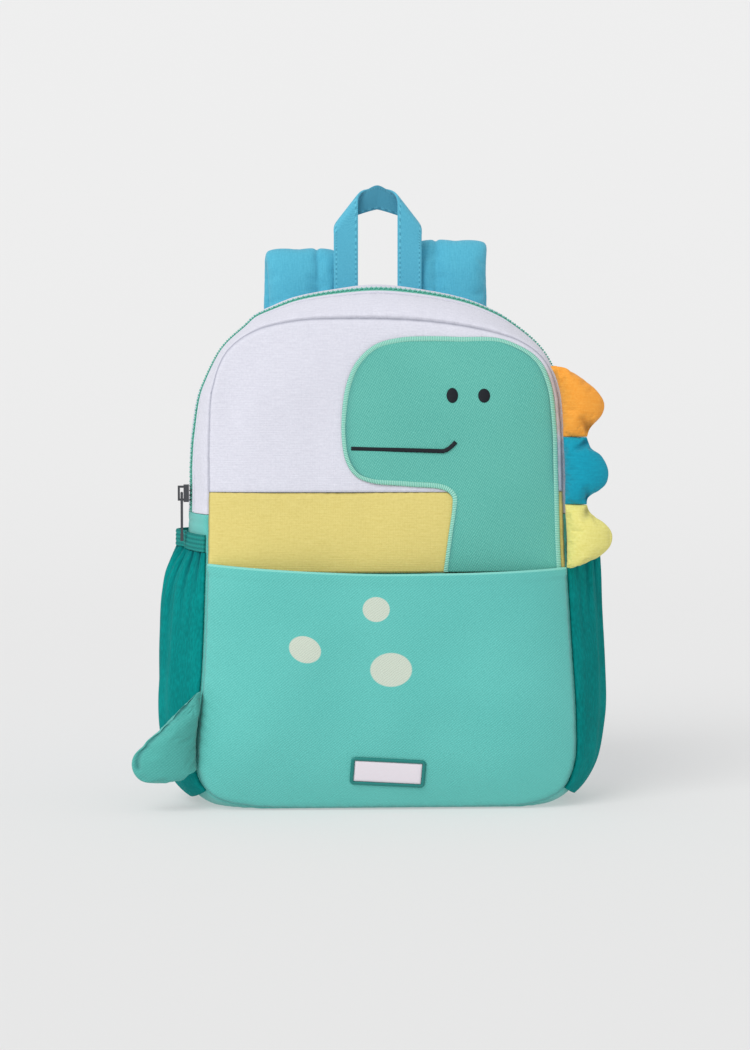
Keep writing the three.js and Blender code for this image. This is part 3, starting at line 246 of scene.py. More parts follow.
# The front of the bag. Two pieces of plain canvas are sewn one above the other, white over yellow, and their
# edge is sewn into the front seam. The canvas is fullest in the middle and has soft dents.
WIDTH, HEIGHT, DEPTH = 223, 309, 98
HALF = WIDTH / 2
LOWER_CORNER, UPPER_CORNER = 24, HEIGHT - 47
CLOTH, GAP = 2, 0.3
HEM, BAND = 150, 50
SEAM_TABLE = np.array([
    (0, .004), (.54, .004), (.83, .01), (.99, .036), (1.06, .09), (1.067, .18), (1.037, .355), (1.01, .52),
    (.997, .665), (.985, .79), (.957, .868), (.888, .92), (.755, .955), (.54, .978), (.22, .995), (-.22, 1),
    (-.52, .995), (-.755, .973), (-.906, .93), (-.982, .858), (-1, .76), (-1.002, .65), (-1.009, .485),
    (-1.03, .29), (-1.064, .14), (-1.058, .07), (-.97, .028), (-.8, .01), (-.5, .004),
])


def run_through(points, count, closed=False):
    """Evenly spaced points of the smooth line (a centripetal Catmull-Rom curve) through the given ones."""
    points = np.asarray(points, float)
    if closed:
        padded = np.vstack([points[-1:], points, points[:2]])
    else:
        padded = np.vstack([2 * points[:1] - points[1:2], points, 2 * points[-1:] - points[-2:-1]])
    p0, p1, p2, p3 = padded[:-3], padded[1:-2], padded[2:-1], padded[3:]
    knot = lambda a, b: np.linalg.norm(b - a, axis=1, keepdims=True) ** 0.5
    d0, d1, d2 = knot(p0, p1), knot(p1, p2), knot(p2, p3)
    m1 = d1 * ((p1 - p0) / d0 - (p2 - p0) / (d0 + d1) + (p2 - p1) / d1)
    m2 = d1 * ((p2 - p1) / d1 - (p3 - p1) / (d1 + d2) + (p3 - p2) / d2)
    t = np.linspace(0, 1, 60, endpoint=False)[:, None, None]
    dense = (2 * t**3 - 3 * t**2 + 1) * p1 + (t**3 - 2 * t**2 + t) * m1
    dense = dense + (3 * t**2 - 2 * t**3) * p2 + (t**3 - t**2) * m2
    dense = np.vstack([dense.transpose(1, 0, 2).reshape(-1, points.shape[1]), p2[-1:]])
    length = np.concatenate([[0], np.cumsum(np.linalg.norm(np.diff(dense, axis=0), axis=1))])
    even = np.linspace(0, length[-1], count)
    return np.stack([np.interp(even, length, dense[:, k]) for k in range(points.shape[1])], -1)


SEAM = run_through(SEAM_TABLE * (HALF, HEIGHT), 2881, closed=True)
SEAM_LENGTH = np.linalg.norm(np.diff(SEAM, axis=0), axis=1).sum()
SEAM_ALONG = np.roll(SEAM[:-1], -1, 0) - np.roll(SEAM[:-1], 1, 0)
SEAM_ALONG = np.vstack([SEAM_ALONG, SEAM_ALONG[:1]]) / np.linalg.norm(SEAM_ALONG, axis=1).mean()
SHARES = np.linspace(0, 1, len(SEAM))


def seam_at(share):
    """The front seam's point and its outward direction, by a share of its length from the bottom's middle."""
    turn = np.mod(share, 1)
    x, z, ax, az = (np.interp(turn, SHARES, c) for c in (*SEAM.T, *SEAM_ALONG.T))
    size = np.hypot(ax, az)
    return np.stack([x, z], -1), np.stack([az / size, -ax / size], -1)


def seam_share(side, height):
    """The share at which the seam's right (1) or left (-1) side reaches a height."""
    x, z = SEAM.T
    crossing = (x[:-1] * side > HALF / 2) & ((z[:-1] - height) * (z[1:] - height) <= 0)
    first = np.argmax(crossing)
    return (first + (height - z[first]) / (z[first + 1] - z[first])) / (len(SEAM) - 1)


seam_angle = np.arctan2(SEAM[:-1, 1] - HEIGHT / 2, SEAM[:-1, 0])
seam_radius = np.hypot(SEAM[:-1, 1] - HEIGHT / 2, SEAM[:-1, 0])


def fullness(x, z):
    """1 in the middle of a panel and 0 at its seam, less the fourth power of the way there."""
    reach = np.interp(np.arctan2(z - HEIGHT / 2, x), *sorted_seam, period=2 * math.pi)
    return np.maximum(1 - (np.hypot(z - HEIGHT / 2, x) / reach) ** 4, 0)


order = np.argsort(seam_angle)
sorted_seam = (seam_angle[order], seam_radius[order])


def front_y(z):
    """The front leans back a little towards its top."""
    return -DEPTH / 2 + 8 * (z / HEIGHT) ** 2


def on_front(x, z, lift=0.0):
    return np.stack([x, front_y(z) - lift - 9 * fullness(x, z), z], -1)


def patch_between(bottom, top, left, right):
    """A patch of the x-z plane between four edges, each a function of a share (a Coons patch)."""

    def place(u, v):
        one = np.ones_like(u)
        u2, v2 = u[..., None], v[..., None]
        sides = bottom(u) * (1 - v2) + top(u) * v2 + left(v) * (1 - u2) + right(v) * u2
        low = bottom(0 * one) * (1 - u2) + bottom(one) * u2
        high = top(0 * one) * (1 - u2) + top(one) * u2
        return sides - low * (1 - v2) - high * v2

    return place


def seam_run(start, end):
    return lambda share: seam_at(start + (end - start) * share)[0]


def level_run(z):
    left = seam_at(seam_share(-1, z))[0][0]
    right = seam_at(seam_share(1, z))[0][0]
    return lambda share: np.stack([left + (right - left) * share, z + 0 * share], -1)


def front_above(z):
    left, right = seam_share(-1, z), seam_share(1, z)
    left_corner, right_corner = seam_share(-1, UPPER_CORNER), seam_share(1, UPPER_CORNER)
    return patch_between(
        level_run(z),
        seam_run(left_corner, right_corner),
        seam_run(left, left_corner),
        seam_run(right, right_corner),
    )


def front_below(z):
    left_corner, right_corner = seam_share(-1, LOWER_CORNER) - 1, seam_share(1, LOWER_CORNER)
    return patch_between(
        seam_run(left_corner, right_corner),
        level_run(z),
        seam_run(left_corner, seam_share(-1, z) - 1),
        seam_run(right_corner, seam_share(1, z)),
    )


def front_between(low, high):
    return patch_between(
        level_run(low),
        level_run(high),
        seam_run(seam_share(-1, low), seam_share(-1, high)),
        seam_run(seam_share(1, low), seam_share(1, high)),
    )


def soft_noise(seed, x, y, size, waves=14):
    """A smooth random field of about -1 to 1: sines of random direction and phase, about size long."""
    rng = np.random.default_rng(seed)
    total = 0
    for _ in range(waves):
        angle = rng.uniform(0, 2 * math.pi)
        pitch = size * rng.uniform(0.7, 1.6)
        along = x * math.cos(angle) + y * math.sin(angle)
        total = total + np.sin(2 * math.pi * along / pitch + rng.uniform(0, 2 * math.pi))
    return total / math.sqrt(waves) * 0.7


def surface_normal(points):
    """The unit normal of a grid of points, turned away from the bag's middle."""
    across = np.gradient(points, axis=1)
    along = np.gradient(points, axis=0)
    normal = np.cross(across, along)
    normal /= np.maximum(np.linalg.norm(normal, axis=-1, keepdims=True), 1e-9)
    away = points - np.array([0, 0, HEIGHT / 2])
    return normal * np.sign((normal * away).sum(-1).mean())


def quads(number):
    """The faces between the points of a grid of point numbers."""
    return np.stack([number[:-1, :-1], number[:-1, 1:], number[1:, 1:], number[1:, :-1]], -1).reshape(-1, 4)


def wall(name, points, thickness, finish, uv, relief=0.0, shade=None):
    """A closed cloth wall. points is a grid on its outer face, relief moves that face out or in, the inner
    face lies one thickness further in, and a rim joins the two."""
    normal = surface_normal(points)
    outer = points + normal * (np.zeros(points.shape[:2]) + relief)[..., None]
    inner = points - normal * thickness
    rows, columns = points.shape[:2]
    number = np.arange(rows * columns).reshape(rows, columns)
    loop = np.concatenate([number[0, :-1], number[:-1, -1], number[-1, :0:-1], number[:0:-1, 0]])
    after = np.roll(loop, -1)
    shift = rows * columns
    rim = np.stack([after, loop, loop + shift, after + shift], -1)
    faces = np.vstack([quads(number), quads(number)[:, ::-1] + shift, rim])
    middle = (rows // 2, columns // 2)
    beside = points[middle[0], middle[1] + 1] - points[middle]
    above = points[middle[0] + 1, middle[1]] - points[middle]
    if np.cross(beside, above) @ normal[middle] < 0:
        faces = faces[:, ::-1]
    both = np.vstack([outer.reshape(-1, 3), inner.reshape(-1, 3)])
    if shade is not None:
        shade = np.tile(shade.ravel(), 2)
    made = make_mesh(name, both, faces, finish, uv=np.vstack([uv.reshape(-1, 2)] * 2), shade=shade)
    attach(made, "bag")
    return made


def grid(columns, rows):
    return np.meshgrid(np.linspace(0, 1, columns), np.linspace(0, 1, rows))


def canvas(name, low, high, slub, pitch=0.0011):
    """Plain woven canvas: level slubs of a darker and a lighter thread, and the weave as a fine relief."""
    finish = Finish(name, high, 0.88, Specular_IOR_Level=0.25, Sheen_Weight=0.15)
    x, y = finish.plane()
    streaks = finish.noise(x, y, 0.009, 0.0007) * 0.5 + finish.noise(x, y, 0.0016, 0.0014, 2.0) * 0.5
    finish.paint(finish.blend(streaks.ramp(0.5 - slub, 0.5 + slub), low, high))
    # Painted shade where the mesh's shade attribute marks seams and folds.
    finish.paint_shade(1.0)
    weave = x.wave(pitch) * 0.4 + y.wave(pitch) * 0.6 + streaks * 0.8
    finish.relief(weave, 0.00009)
    return finish


def from_front_seam(x, z):
    """The way in from the front seam in millimetres, true near the seam."""
    return (1 - (1 - fullness(x, z)) ** 0.25) * 110


def edge_pucker(seed, distance, along, pitch, reach, depth):
    """Small folds that cross a seam: waves along it that fade over a reach from it."""
    wave = np.sin(2 * math.pi * along / pitch + 2.2 * soft_noise(seed, along, distance, pitch * 5))
    return depth * wave * np.exp(-np.maximum(distance, 0) / reach)


white_canvas = canvas("white_canvas", srgb(210, 210, 222), srgb(228, 228, 239), 0.45)
yellow_canvas = canvas("yellow_canvas", srgb(214, 196, 112), srgb(232, 216, 136), 0.45)

for name, patch, finish, size, seed in (
    ("front_panel_top", front_above(HEM + BAND + GAP), white_canvas, (150, 80), 3),
    ("front_panel_band", front_between(HEM, HEM + BAND), yellow_canvas, (150, 36), 5),
):
    u, v = grid(*size)
    place = patch(u, v)
    x, z = place[..., 0], place[..., 1]
    edge = (1 - fullness(x, z)) ** 2
    from_seam = from_front_seam(x, z)
    dents = (0.9 * soft_noise(seed, x, z, 85) + 0.25 * soft_noise(seed + 1, x, z * 0.6, 30)) * (1 - edge)
    dents = dents - 1.8 * np.exp(-(((x + 98) / 10) ** 2) - ((z - 256 + (x + 98) * 0.8) / 17) ** 2)
    level_seam = np.abs(z - HEM - BAND)
    pucker = edge_pucker(seed, level_seam, x, 7, 4, 0.16) - 0.35 * np.exp(-((level_seam / 1.6) ** 2))
    tucked = edge_pucker(seed, from_seam, x + z, 11, 6, 0.2) - 1.1 * np.exp(-((from_seam / 1.2) ** 2))
    # Painted shade in the groove at the front seam, and faintly along the seam between the white and the
    # yellow canvas.
    shade = 0.6 * np.exp(-((from_seam / 0.6) ** 2)) + 0.08 * np.exp(-((level_seam / 0.5) ** 2))
    relief = dents + pucker + tucked
    panel = wall(name + "_cloth", on_front(x, z), CLOTH, finish, place, relief, shade)
    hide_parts(name)
    "white_canvas" if name == "front_panel_top" else "yellow_canvas"

# The gusset. A strip joins the front to the back round the whole bag: white canvas on the arch, with a mint
# zip between its two bands, and mint twill for the sides and the bottom, which the bag's weight flattens.
BACK = DEPTH / 2
SPAN = DEPTH - CLOTH - 2 * GAP
ZIP_MIDDLE = 0.5 - 17 / SPAN
ZIP_START, ZIP_END = ZIP_MIDDLE - 6 / SPAN, ZIP_MIDDLE + 6 / SPAN
ZIP_END_HEIGHT = 186
SIDE_BULGE, TOP_BULGE, BOTTOM_BULGE = 12.5, 21.5, 9
# Round the arch: the turn in degrees about the bag's middle, and the shares of the side's and top's bulge.
ARCH_TABLE = np.array([
    (32, 1, 0), (39, .76, 0), (45, .52, 0), (50.4, .4, 0), (54.4, .3, .105), (59.4, .2, .3), (64, .1, .57),
    (68.5, 0, .77), (73, 0, .86), (82.3, 0, .955), (91.6, 0, 1), (100.8, 0, .885), (109.4, 0, .69),
    (114.8, .05, .48), (118, .1, .36), (120.7, .15, .17), (123.7, .22, .06), (129.6, .3, 0), (133.2, .44, 0),
    (136.9, .64, 0), (145.1, .9, 0), (152, 1, 0),
])
arch_bulge = ARCH_TABLE[:, 1] * SIDE_BULGE + ARCH_TABLE[:, 2] * TOP_BULGE
ARCH_BULGE = run_through(np.stack([ARCH_TABLE[:, 0], arch_bulge], -1), 241)


def arch(across):
    """How far the strip bulges on its way across, from 0 at a seam to 1 in the middle."""
    return np.sin(math.pi * np.clip(across, 0, 1)) ** 0.75


def on_gusset(share, across, proud=0.0, floor=0.0):
    """A point of the strip between the seams, which bulges outwards and lies level on the floor."""
    seam, out = seam_at(share)
    turn = np.degrees(np.arctan2(seam[..., 1] - HEIGHT / 2, seam[..., 0]))
    on_arch = (turn > ARCH_TABLE[0, 0]) & (turn < ARCH_TABLE[-1, 0])
    below = SIDE_BULGE * out[..., 0] ** 2 + BOTTOM_BULGE * out[..., 1] ** 2
    bulge = np.where(on_arch, np.interp(turn, *ARCH_BULGE.T), below)
    reach = bulge * arch(across) + proud
    start = front_y(seam[..., 1]) + CLOTH + GAP
    y = start + (BACK - GAP - start) * across
    x = seam[..., 0] + out[..., 0] * reach
    return np.stack([x, y, np.maximum(seam[..., 1] + out[..., 1] * reach, floor)], -1)


def twill(name, low, high, pitch=0.0013, slant=38, contrast=0.35):
    """Coarse twill: slanting ribs that are broken up along their length by the crossing threads."""
    finish = Finish(name, high, 0.85, Specular_IOR_Level=0.3, Sheen_Weight=0.2)
    x, y = finish.plane()
    angle, grain = math.radians(slant), 0.3
    across = x * math.sin(angle) - y * math.cos(angle)
    along = x * math.cos(angle) + y * math.sin(angle)
    wander = finish.noise(x, y, 0.006, 0.006) * pitch * 1.2
    rib = (across + wander).wave(pitch)
    dots = rib * (along + wander).wave(pitch * 1.3)
    broken = finish.noise(along, across, pitch * 1.6, pitch * 0.5, 1.0)
    broad = finish.noise(x, y, 0.05, 0.05)
    shade = (rib * 0.4 + dots * 0.6) * contrast + broken * grain + broad * (0.85 - contrast - grain) + 0.08
    finish.paint(finish.blend(shade, low, high))
    # Painted shade where the mesh's shade attribute marks seams and folds.
    finish.paint_shade(1.0)
    finish.relief(rib * 0.5 + dots * 0.5 + broken * 0.6, 0.00012)
    return finish


mint_twill = twill("mint_twill", srgb(76, 172, 164), srgb(122, 214, 206))
arch_right, arch_left = seam_share(1, ZIP_END_HEIGHT), seam_share(-1, ZIP_END_HEIGHT)
for name, start, end, seed in (
    ("gusset_front_band", 0, ZIP_START - GAP / SPAN, 11),
    ("gusset_back_band", ZIP_END + GAP / SPAN, 1, 12),
):
    u, v = grid(640, 30)
    v = (1 - np.cos(math.pi * v)) / 2
    share, across = arch_right + (arch_left - arch_right) * u, start + (end - start) * v
    along, wide = share * SEAM_LENGTH, across * SPAN * 1.1
    near_seam = np.minimum(v, 1 - v) * (end - start) * SPAN
    dents = 0.45 * soft_noise(seed, along, wide, 46) * np.clip(near_seam / 8, 0, 1)
    folds = edge_pucker(seed, near_seam, along, 9, 5, 0.13)
    lip = -1.2 * np.exp(-((near_seam / 1.1) ** 2))
    from_zip = ((1 - v) if name == "gusset_front_band" else v) * (end - start) * SPAN
    topstitch = np.exp(-(((from_zip - 2.4) / 0.5) ** 2))
    stitched = topstitch * (0.5 + 0.5 * np.sin(2 * math.pi * along / 3.2))
    relief = dents + folds + lip - 0.35 * topstitch
    # Painted shade in the lips at the band's seams, and in dashes along the sunk topstitch row.
    shade = 0.4 * np.exp(-((near_seam / 0.6) ** 2)) + 0.25 * stitched
    place = np.stack([along, wide], -1)
    strip = wall(name + "_cloth", on_gusset(share, across), CLOTH, white_canvas, place, relief, shade)
    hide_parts(name)

# The lower gusset is in one piece under the pockets, with the ends of the arch sewn on its upper edges.
u, v = grid(420, 26)
end_gap = GAP / SEAM_LENGTH
lower_run = arch_right - arch_left + 1
share = arch_left - 1 + end_gap + (lower_run - 2 * end_gap) * u
along, wide = share * SEAM_LENGTH, v * SPAN
near_seam = np.minimum(v, 1 - v) * SPAN
from_end = np.minimum(u, 1 - u) * SEAM_LENGTH * lower_run
hem = -0.5 * np.exp(-(((from_end - 6) / 0.7) ** 2))
relief = edge_pucker(14, near_seam, along, 9, 5, 0.1) + hem
place = np.stack([along, wide], -1)
lower = wall("gusset_lower_cloth", on_gusset(share, v), CLOTH, mint_twill, place, relief)
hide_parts("gusset_lower")

# The zip is a woven mint tape with a nylon coil down its middle, in two rows of teeth that reach past each
# other. Its edges lie under the canvas on either side.
zip_tape = Finish("zip_tape", srgb(122, 204, 184), 0.7, Specular_IOR_Level=0.3)
x, y = zip_tape.plane()
from_coil = (y - ZIP_MIDDLE * SPAN * MM).math("ABSOLUTE")
under_cloth = from_coil.ramp(0.0033, 0.0037)
tape_mint = zip_tape.blend(from_coil.ramp(0.001, 0.003), srgb(84, 176, 156), srgb(122, 204, 184))
zip_tape.paint(zip_tape.blend(under_cloth, tape_mint, srgb(222, 222, 234)))
zip_tape.relief(x.wave(0.0009) * y.wave(0.0012) + under_cloth * 4, 0.0001)
u, v = grid(420, 16)
share, across = arch_right + (arch_left - arch_right) * u, ZIP_START + (ZIP_END - ZIP_START) * v
tape = wall("zip_tape_cloth", on_gusset(share, across, -0.15), CLOTH - 0.15, zip_tape,
            np.stack([share * SEAM_LENGTH, across * SPAN], -1))
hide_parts("zip_tape")


def ellipsoids(name, centres, axes, finish, rings=5, sides=8):
    """Small ellipsoids in one mesh. centres is a list of points and axes their three half axes as vectors."""
    levels, turns = np.linspace(0, math.pi, rings + 1)[1:-1], np.arange(sides) * 2 * math.pi / sides
    polar, turn = np.meshgrid(levels, turns, indexing="ij")
    ball = np.stack([np.sin(polar) * np.cos(turn), np.sin(polar) * np.sin(turn), np.cos(polar)], -1)
    ball = np.vstack([[0, 0, 1], ball.reshape(-1, 3), [0, 0, -1]])
    count = len(ball)
    ring = 1 + np.arange((rings - 2) * sides).reshape(rings - 2, sides)
    below = ring + sides
    after, after_below = np.roll(ring, -1, 1), np.roll(below, -1, 1)
    lower_half = np.stack([ring, below, after_below], -1).reshape(-1, 3)
    upper_half = np.stack([ring, after_below, after], -1).reshape(-1, 3)
    first = 1 + np.arange(sides)
    last = count - 1 - sides + np.arange(sides)
    caps = np.vstack([
        np.stack([np.zeros(sides, int), first, np.roll(first, -1)], -1),
        np.stack([np.full(sides, count - 1), np.roll(last, -1), last], -1),
    ])
    faces = np.vstack([lower_half, upper_half, caps])
    points = np.einsum("bk,nkc->nbc", ball, axes) + centres[:, None, :]
    every = (faces[None] + (np.arange(len(centres)) * count)[:, None, None]).reshape(-1, 3)
    return make_mesh(name, points.reshape(-1, 3), every, finish)


coil = Finish("zip_coil", srgb(96, 186, 168), 0.45, Specular_IOR_Level=0.5)
tooth_count = int(SEAM_LENGTH * abs(arch_left - arch_right) / 1.5)
tooth_share = np.linspace(arch_right, arch_left, tooth_count + 2)[1:-1]
side = np.where(np.arange(tooth_count) % 2, 1, -1)
tooth_across = ZIP_MIDDLE + side * 0.85 / SPAN
base = on_gusset(tooth_share, tooth_across)
ahead = on_gusset(tooth_share + 1e-4, tooth_across) - base
wide = on_gusset(tooth_share, tooth_across + 0.01) - base
ahead /= np.linalg.norm(ahead, axis=1, keepdims=True)
wide -= ahead * (wide * ahead).sum(1, keepdims=True)
wide /= np.linalg.norm(wide, axis=1, keepdims=True)
up = np.cross(wide, ahead)
up *= np.sign((up * (base - [0, 0, HEIGHT / 2])).sum(1, keepdims=True))
tooth_axes = np.stack([wide * 1.75, ahead * 0.72, up * 0.75], 1)
teeth = ellipsoids("zip_coil_teeth", base + up * 0.25, tooth_axes, coil)
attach(teeth, "bag")

# The back is a foam panel covered in blue cloth, with its edge in the back seam.
FOAM, FOAM_SWELL = 7, 3
strap_cloth = canvas("strap_cloth", srgb(74, 168, 196), srgb(94, 190, 216), 0.45, 0.0011)
back_patch = patch_between(
    seam_run(seam_share(-1, LOWER_CORNER) - 1, seam_share(1, LOWER_CORNER)),
    seam_run(seam_share(-1, UPPER_CORNER), seam_share(1, UPPER_CORNER)),
    seam_run(seam_share(-1, LOWER_CORNER), seam_share(-1, UPPER_CORNER)),
    seam_run(seam_share(1, LOWER_CORNER), seam_share(1, UPPER_CORNER)),
)
u, v = grid(90, 110)
place = back_patch(u, v)
x, z = place[..., 0], place[..., 1]
full = fullness(x, z)
points = np.stack([x, BACK + FOAM + FOAM_SWELL * full, z], -1)
edge_round = -2.2 * np.exp(-(full / 0.05))
relief = edge_round + 0.5 * soft_noise(21, x, z, 60) * full
back = wall("back_panel_cloth", points, FOAM, strap_cloth, place, relief)
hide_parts("back_panel")

# The front pocket is mint twill with three pale spots printed on it. Its top edge is folded in and stitched,
# and its other edges are in the front seam.
ROOM = 11
# The printed spots: the middle, the half axes and the turn in degrees of each.
SPOTS = ((-7.8, 128.1, 8.5, 7.8, 0), (-52, 102.9, 10.2, 8.1, -20), (1.5, 90.4, 13.1, 10.7, 0))


def on_pocket(x, z, lift=0.0):
    return on_front(x, z, lift + CLOTH + GAP + ROOM * fullness(x, z))


pocket_twill = twill("pocket_twill", srgb(76, 174, 166), srgb(120, 214, 206))
x, y = pocket_twill.plane()
mask = None
for cx, cz, half_x, half_z, turn in SPOTS:
    c, s = math.cos(math.radians(turn)), math.sin(math.radians(turn))
    dx, dy = x - cx * MM, y - cz * MM
    px, py = (dx * c + dy * s) / (half_x * MM), (dy * c - dx * s) / (half_z * MM)
    spot = 1 - (px * px + py * py).ramp(0.9, 1.06)
    mask = spot if mask is None else mask + spot
# A painted highlight along the crest of the hem's folded top edge.
fold = y.ramp((HEM - 1.4) * MM, (HEM - 0.9) * MM)
hem_highlight = pocket_twill.blend(fold * 0.5, pocket_twill.painted(), srgb(158, 232, 218))
pocket_twill.paint(pocket_twill.blend(mask * 0.95, hem_highlight, srgb(208, 215, 200)))
u, v = grid(150, 100)
place = front_below(HEM)(u, v)
x, z = place[..., 0], place[..., 1]
edge = (1 - fullness(x, z)) ** 2
dents = 0.9 * soft_noise(31, x, z, 90) + 0.3 * soft_noise(32, x * 0.5, z, 34)
from_seam = from_front_seam(x, z)
pucker = edge_pucker(33, from_seam, x + z, 9, 6, 0.22)
hem = 0.25 * np.clip((z - HEM + 7) / 0.8, 0, 1) - 0.35 * np.exp(-(((z - HEM + 6.6) / 0.5) ** 2))
relief = dents * (1 - edge) * np.clip((HEM - z) / 20 + 0.25, 0, 1) + pucker * (z < HEM - 8) + hem
relief = relief - 0.9 * np.exp(-((from_seam / 1.2) ** 2)) * (z < HEM - 4)
# Painted shade in the groove along the pocket's seam, below its hem.
shade = 0.35 * np.exp(-((from_seam / 0.7) ** 2)) * (z < HEM - 4)
left_rise, right_rise = 5.5 * np.clip(-x / HALF, 0, 1) ** 1.5, 2.5 * np.clip(x / HALF, 0, 1) ** 2
hem_rise = (left_rise + right_rise) * (z / HEM) ** 4
points = on_pocket(x, z) + hem_rise[..., None] * (0, 0, 1)
pocket = wall("front_pocket_cloth", points, CLOTH, pocket_twill, place, relief, shade)
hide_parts("front_pocket")


def dress(name, finish):
    """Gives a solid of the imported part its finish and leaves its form."""
    nodes[name].data.materials.clear()
    nodes[name].data.materials.append(finish.material)


dress("front_panel_lower", mint_twill)

# The head and neck are one layer of twill sewn flat on the front, under a satin-stitched edge. The neck's
# lower end runs down behind the pocket, and the right side goes into the front seam.
HEAD_BASE = HEM + 2 * GAP
HEAD_HEIGHT = HEIGHT - HEAD_BASE - 11.4
HEAD_TABLE = np.array([
    (.462, 0), (.484, .15), (.502, .275), (.5, .318), (.465, .345), (.295, .362), (.13, .378), (.06, .408),
    (.018, .47), (0, .566), (.002, .68), (.022, .795), (.066, .888), (.15, .962), (.26, .993), (.4, 1),
    (.73, .99),
])
free = run_through(HEAD_TABLE * (137.5, HEAD_HEIGHT) + (-28.5, HEAD_BASE), 600)
head_shares = np.linspace(seam_share(1, HEAD_BASE + HEAD_HEIGHT - 5.6), seam_share(1, HEAD_BASE), 200)
on_seam, seam_out = seam_at(head_shares)
seam_side = on_seam - seam_out * 3
shoulder = run_through(np.vstack([free[-60], free[-1], seam_side[4], seam_side[14]]), 60)
outline = np.vstack([free[:-60], shoulder[:-1], seam_side[14:]])
outline = outline[np.concatenate([[True], np.linalg.norm(np.diff(outline, axis=0), axis=1) > 0.02])]


def moved_in(line, inset):
    """The line moved to its right-hand side, which is the inside of the head."""
    along = np.gradient(line, axis=0)
    along /= np.linalg.norm(along, axis=1, keepdims=True)
    return line + np.stack([along[:, 1], -along[:, 0]], -1) * inset


def filled_rows(line, rows, columns):
    """A grid over a form whose outline goes up its left side to the top and down its right side."""
    top = np.argmax(line[:, 1])
    left = np.maximum.accumulate(line[: top + 1, 1])
    right = np.maximum.accumulate(line[top:, 1][::-1])
    low = max(left[0], right[0])
    t = np.linspace(0, 1, rows)
    level = low + (line[top, 1] - 0.02 - low) * (1 - (1 - t) ** 1.35)
    ends = np.interp(level, left, line[: top + 1, 0]), np.interp(level, right, line[top:, 0][::-1])
    across = ends[0][:, None] + (ends[1] - ends[0])[:, None] * np.linspace(0, 1, columns)
    return np.stack([across, np.repeat(level[:, None], columns, 1)], -1)


head_twill = twill("head_twill", srgb(50, 150, 140), srgb(132, 216, 200), 0.0012, 58, 0.42)
head_rows, head_columns = 220, 70
place = filled_rows(moved_in(outline, 2.4), head_rows, head_columns)
x, z = place[..., 0], place[..., 1]
dents = 0.35 * soft_noise(41, x, z, 70)
u, v = grid(head_columns, head_rows)
from_edge = np.minimum(np.minimum(u, 1 - u) * 130, (1 - v) * 160)
# Painted shade on the head along its sides and top, just inside the raised satin edge.
shade = 0.5 * np.exp(-from_edge / 1.6)
head = wall("dino_head_cloth", on_front(x, z, 1.5), 1, head_twill, place, dents, shade)
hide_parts("dino_head")

satin = Finish("satin_edging", srgb(150, 222, 202), 0.5, Specular_IOR_Level=0.4, Sheen_Weight=0.3)
x, y = satin.plane()
satin_rib = x.wave(0.0011)
satin.paint(satin.blend(satin_rib, srgb(112, 196, 176), srgb(172, 234, 216)))
satin.relief(satin_rib, 0.0003)


def raised_line(name, line, low, high, lift, rise, finish, surface, steps_across=10, ends=False):
    """A rounded raised band along a line of the x-z plane, between two insets of it, closed underneath."""
    along = np.concatenate([[0], np.cumsum(np.linalg.norm(np.diff(line, axis=0), axis=1))])
    t = np.linspace(0, 1, steps_across)
    rows = np.stack([moved_in(line, low + (high - low) * k) for k in t])
    dome = np.sqrt(np.maximum(1 - (2 * t - 1) ** 2, 0))[:, None] * rise
    if ends:
        taper = np.minimum(along, along[-1] - along) / (abs(high - low) / 2)
        dome = dome * np.sqrt(1 - (1 - np.clip(taper, 0, 1)) ** 2)
    points = surface(rows[..., 0], rows[..., 1], lift + dome)
    over = np.repeat((t * (high - low))[:, None], len(line), 1)
    uv = np.stack([np.repeat(along[None], steps_across, 0), over], -1)
    return wall(name, points, 0.35, finish, uv)


edging = raised_line("dino_edging_satin", outline, 0, 3.4, 1.0, 0.85, satin, on_front)
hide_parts("dino_edging")

# The eyes and the mouth are satin-stitched in near-black thread.
thread = Finish("dark_thread", srgb(20, 26, 34), 0.6, Specular_IOR_Level=0.3)
x, y = thread.plane()
thread.relief(y.wave(0.0006), 0.00015)
for name, cx, cz, half_x, half_z in (
    ("eye_left", 40.8, 260.6, 3.6, 4.7),
    ("eye_right", 60.8, 260.4, 3.8, 4.4),
):
    u, v = grid(41, 14)
    angle = u * 2 * math.pi
    x, z = cx + half_x * v * np.cos(angle), cz + half_z * v * np.sin(angle)
    points = on_front(x, z, 1.8 + 0.9 * np.sqrt(np.maximum(1 - v**2, 0)))
    eye = wall(name + "_stitched", points, 0.5, thread, np.stack([x, z], -1))
    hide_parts(name)
share = np.linspace(0, 1, 220)
turned = np.maximum((share - 0.87) / 0.13, 0) ** 1.7
mouth_line = np.stack([-22.8 + 65.6 * share, HEAD_BASE + HEAD_HEIGHT * 0.524 - 2 * share + 6 * turned], -1)
mouth = raised_line("mouth_stitched", mouth_line, -1.3, 1.3, 1.7, 0.8, thread, on_front, ends=True)
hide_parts("mouth")

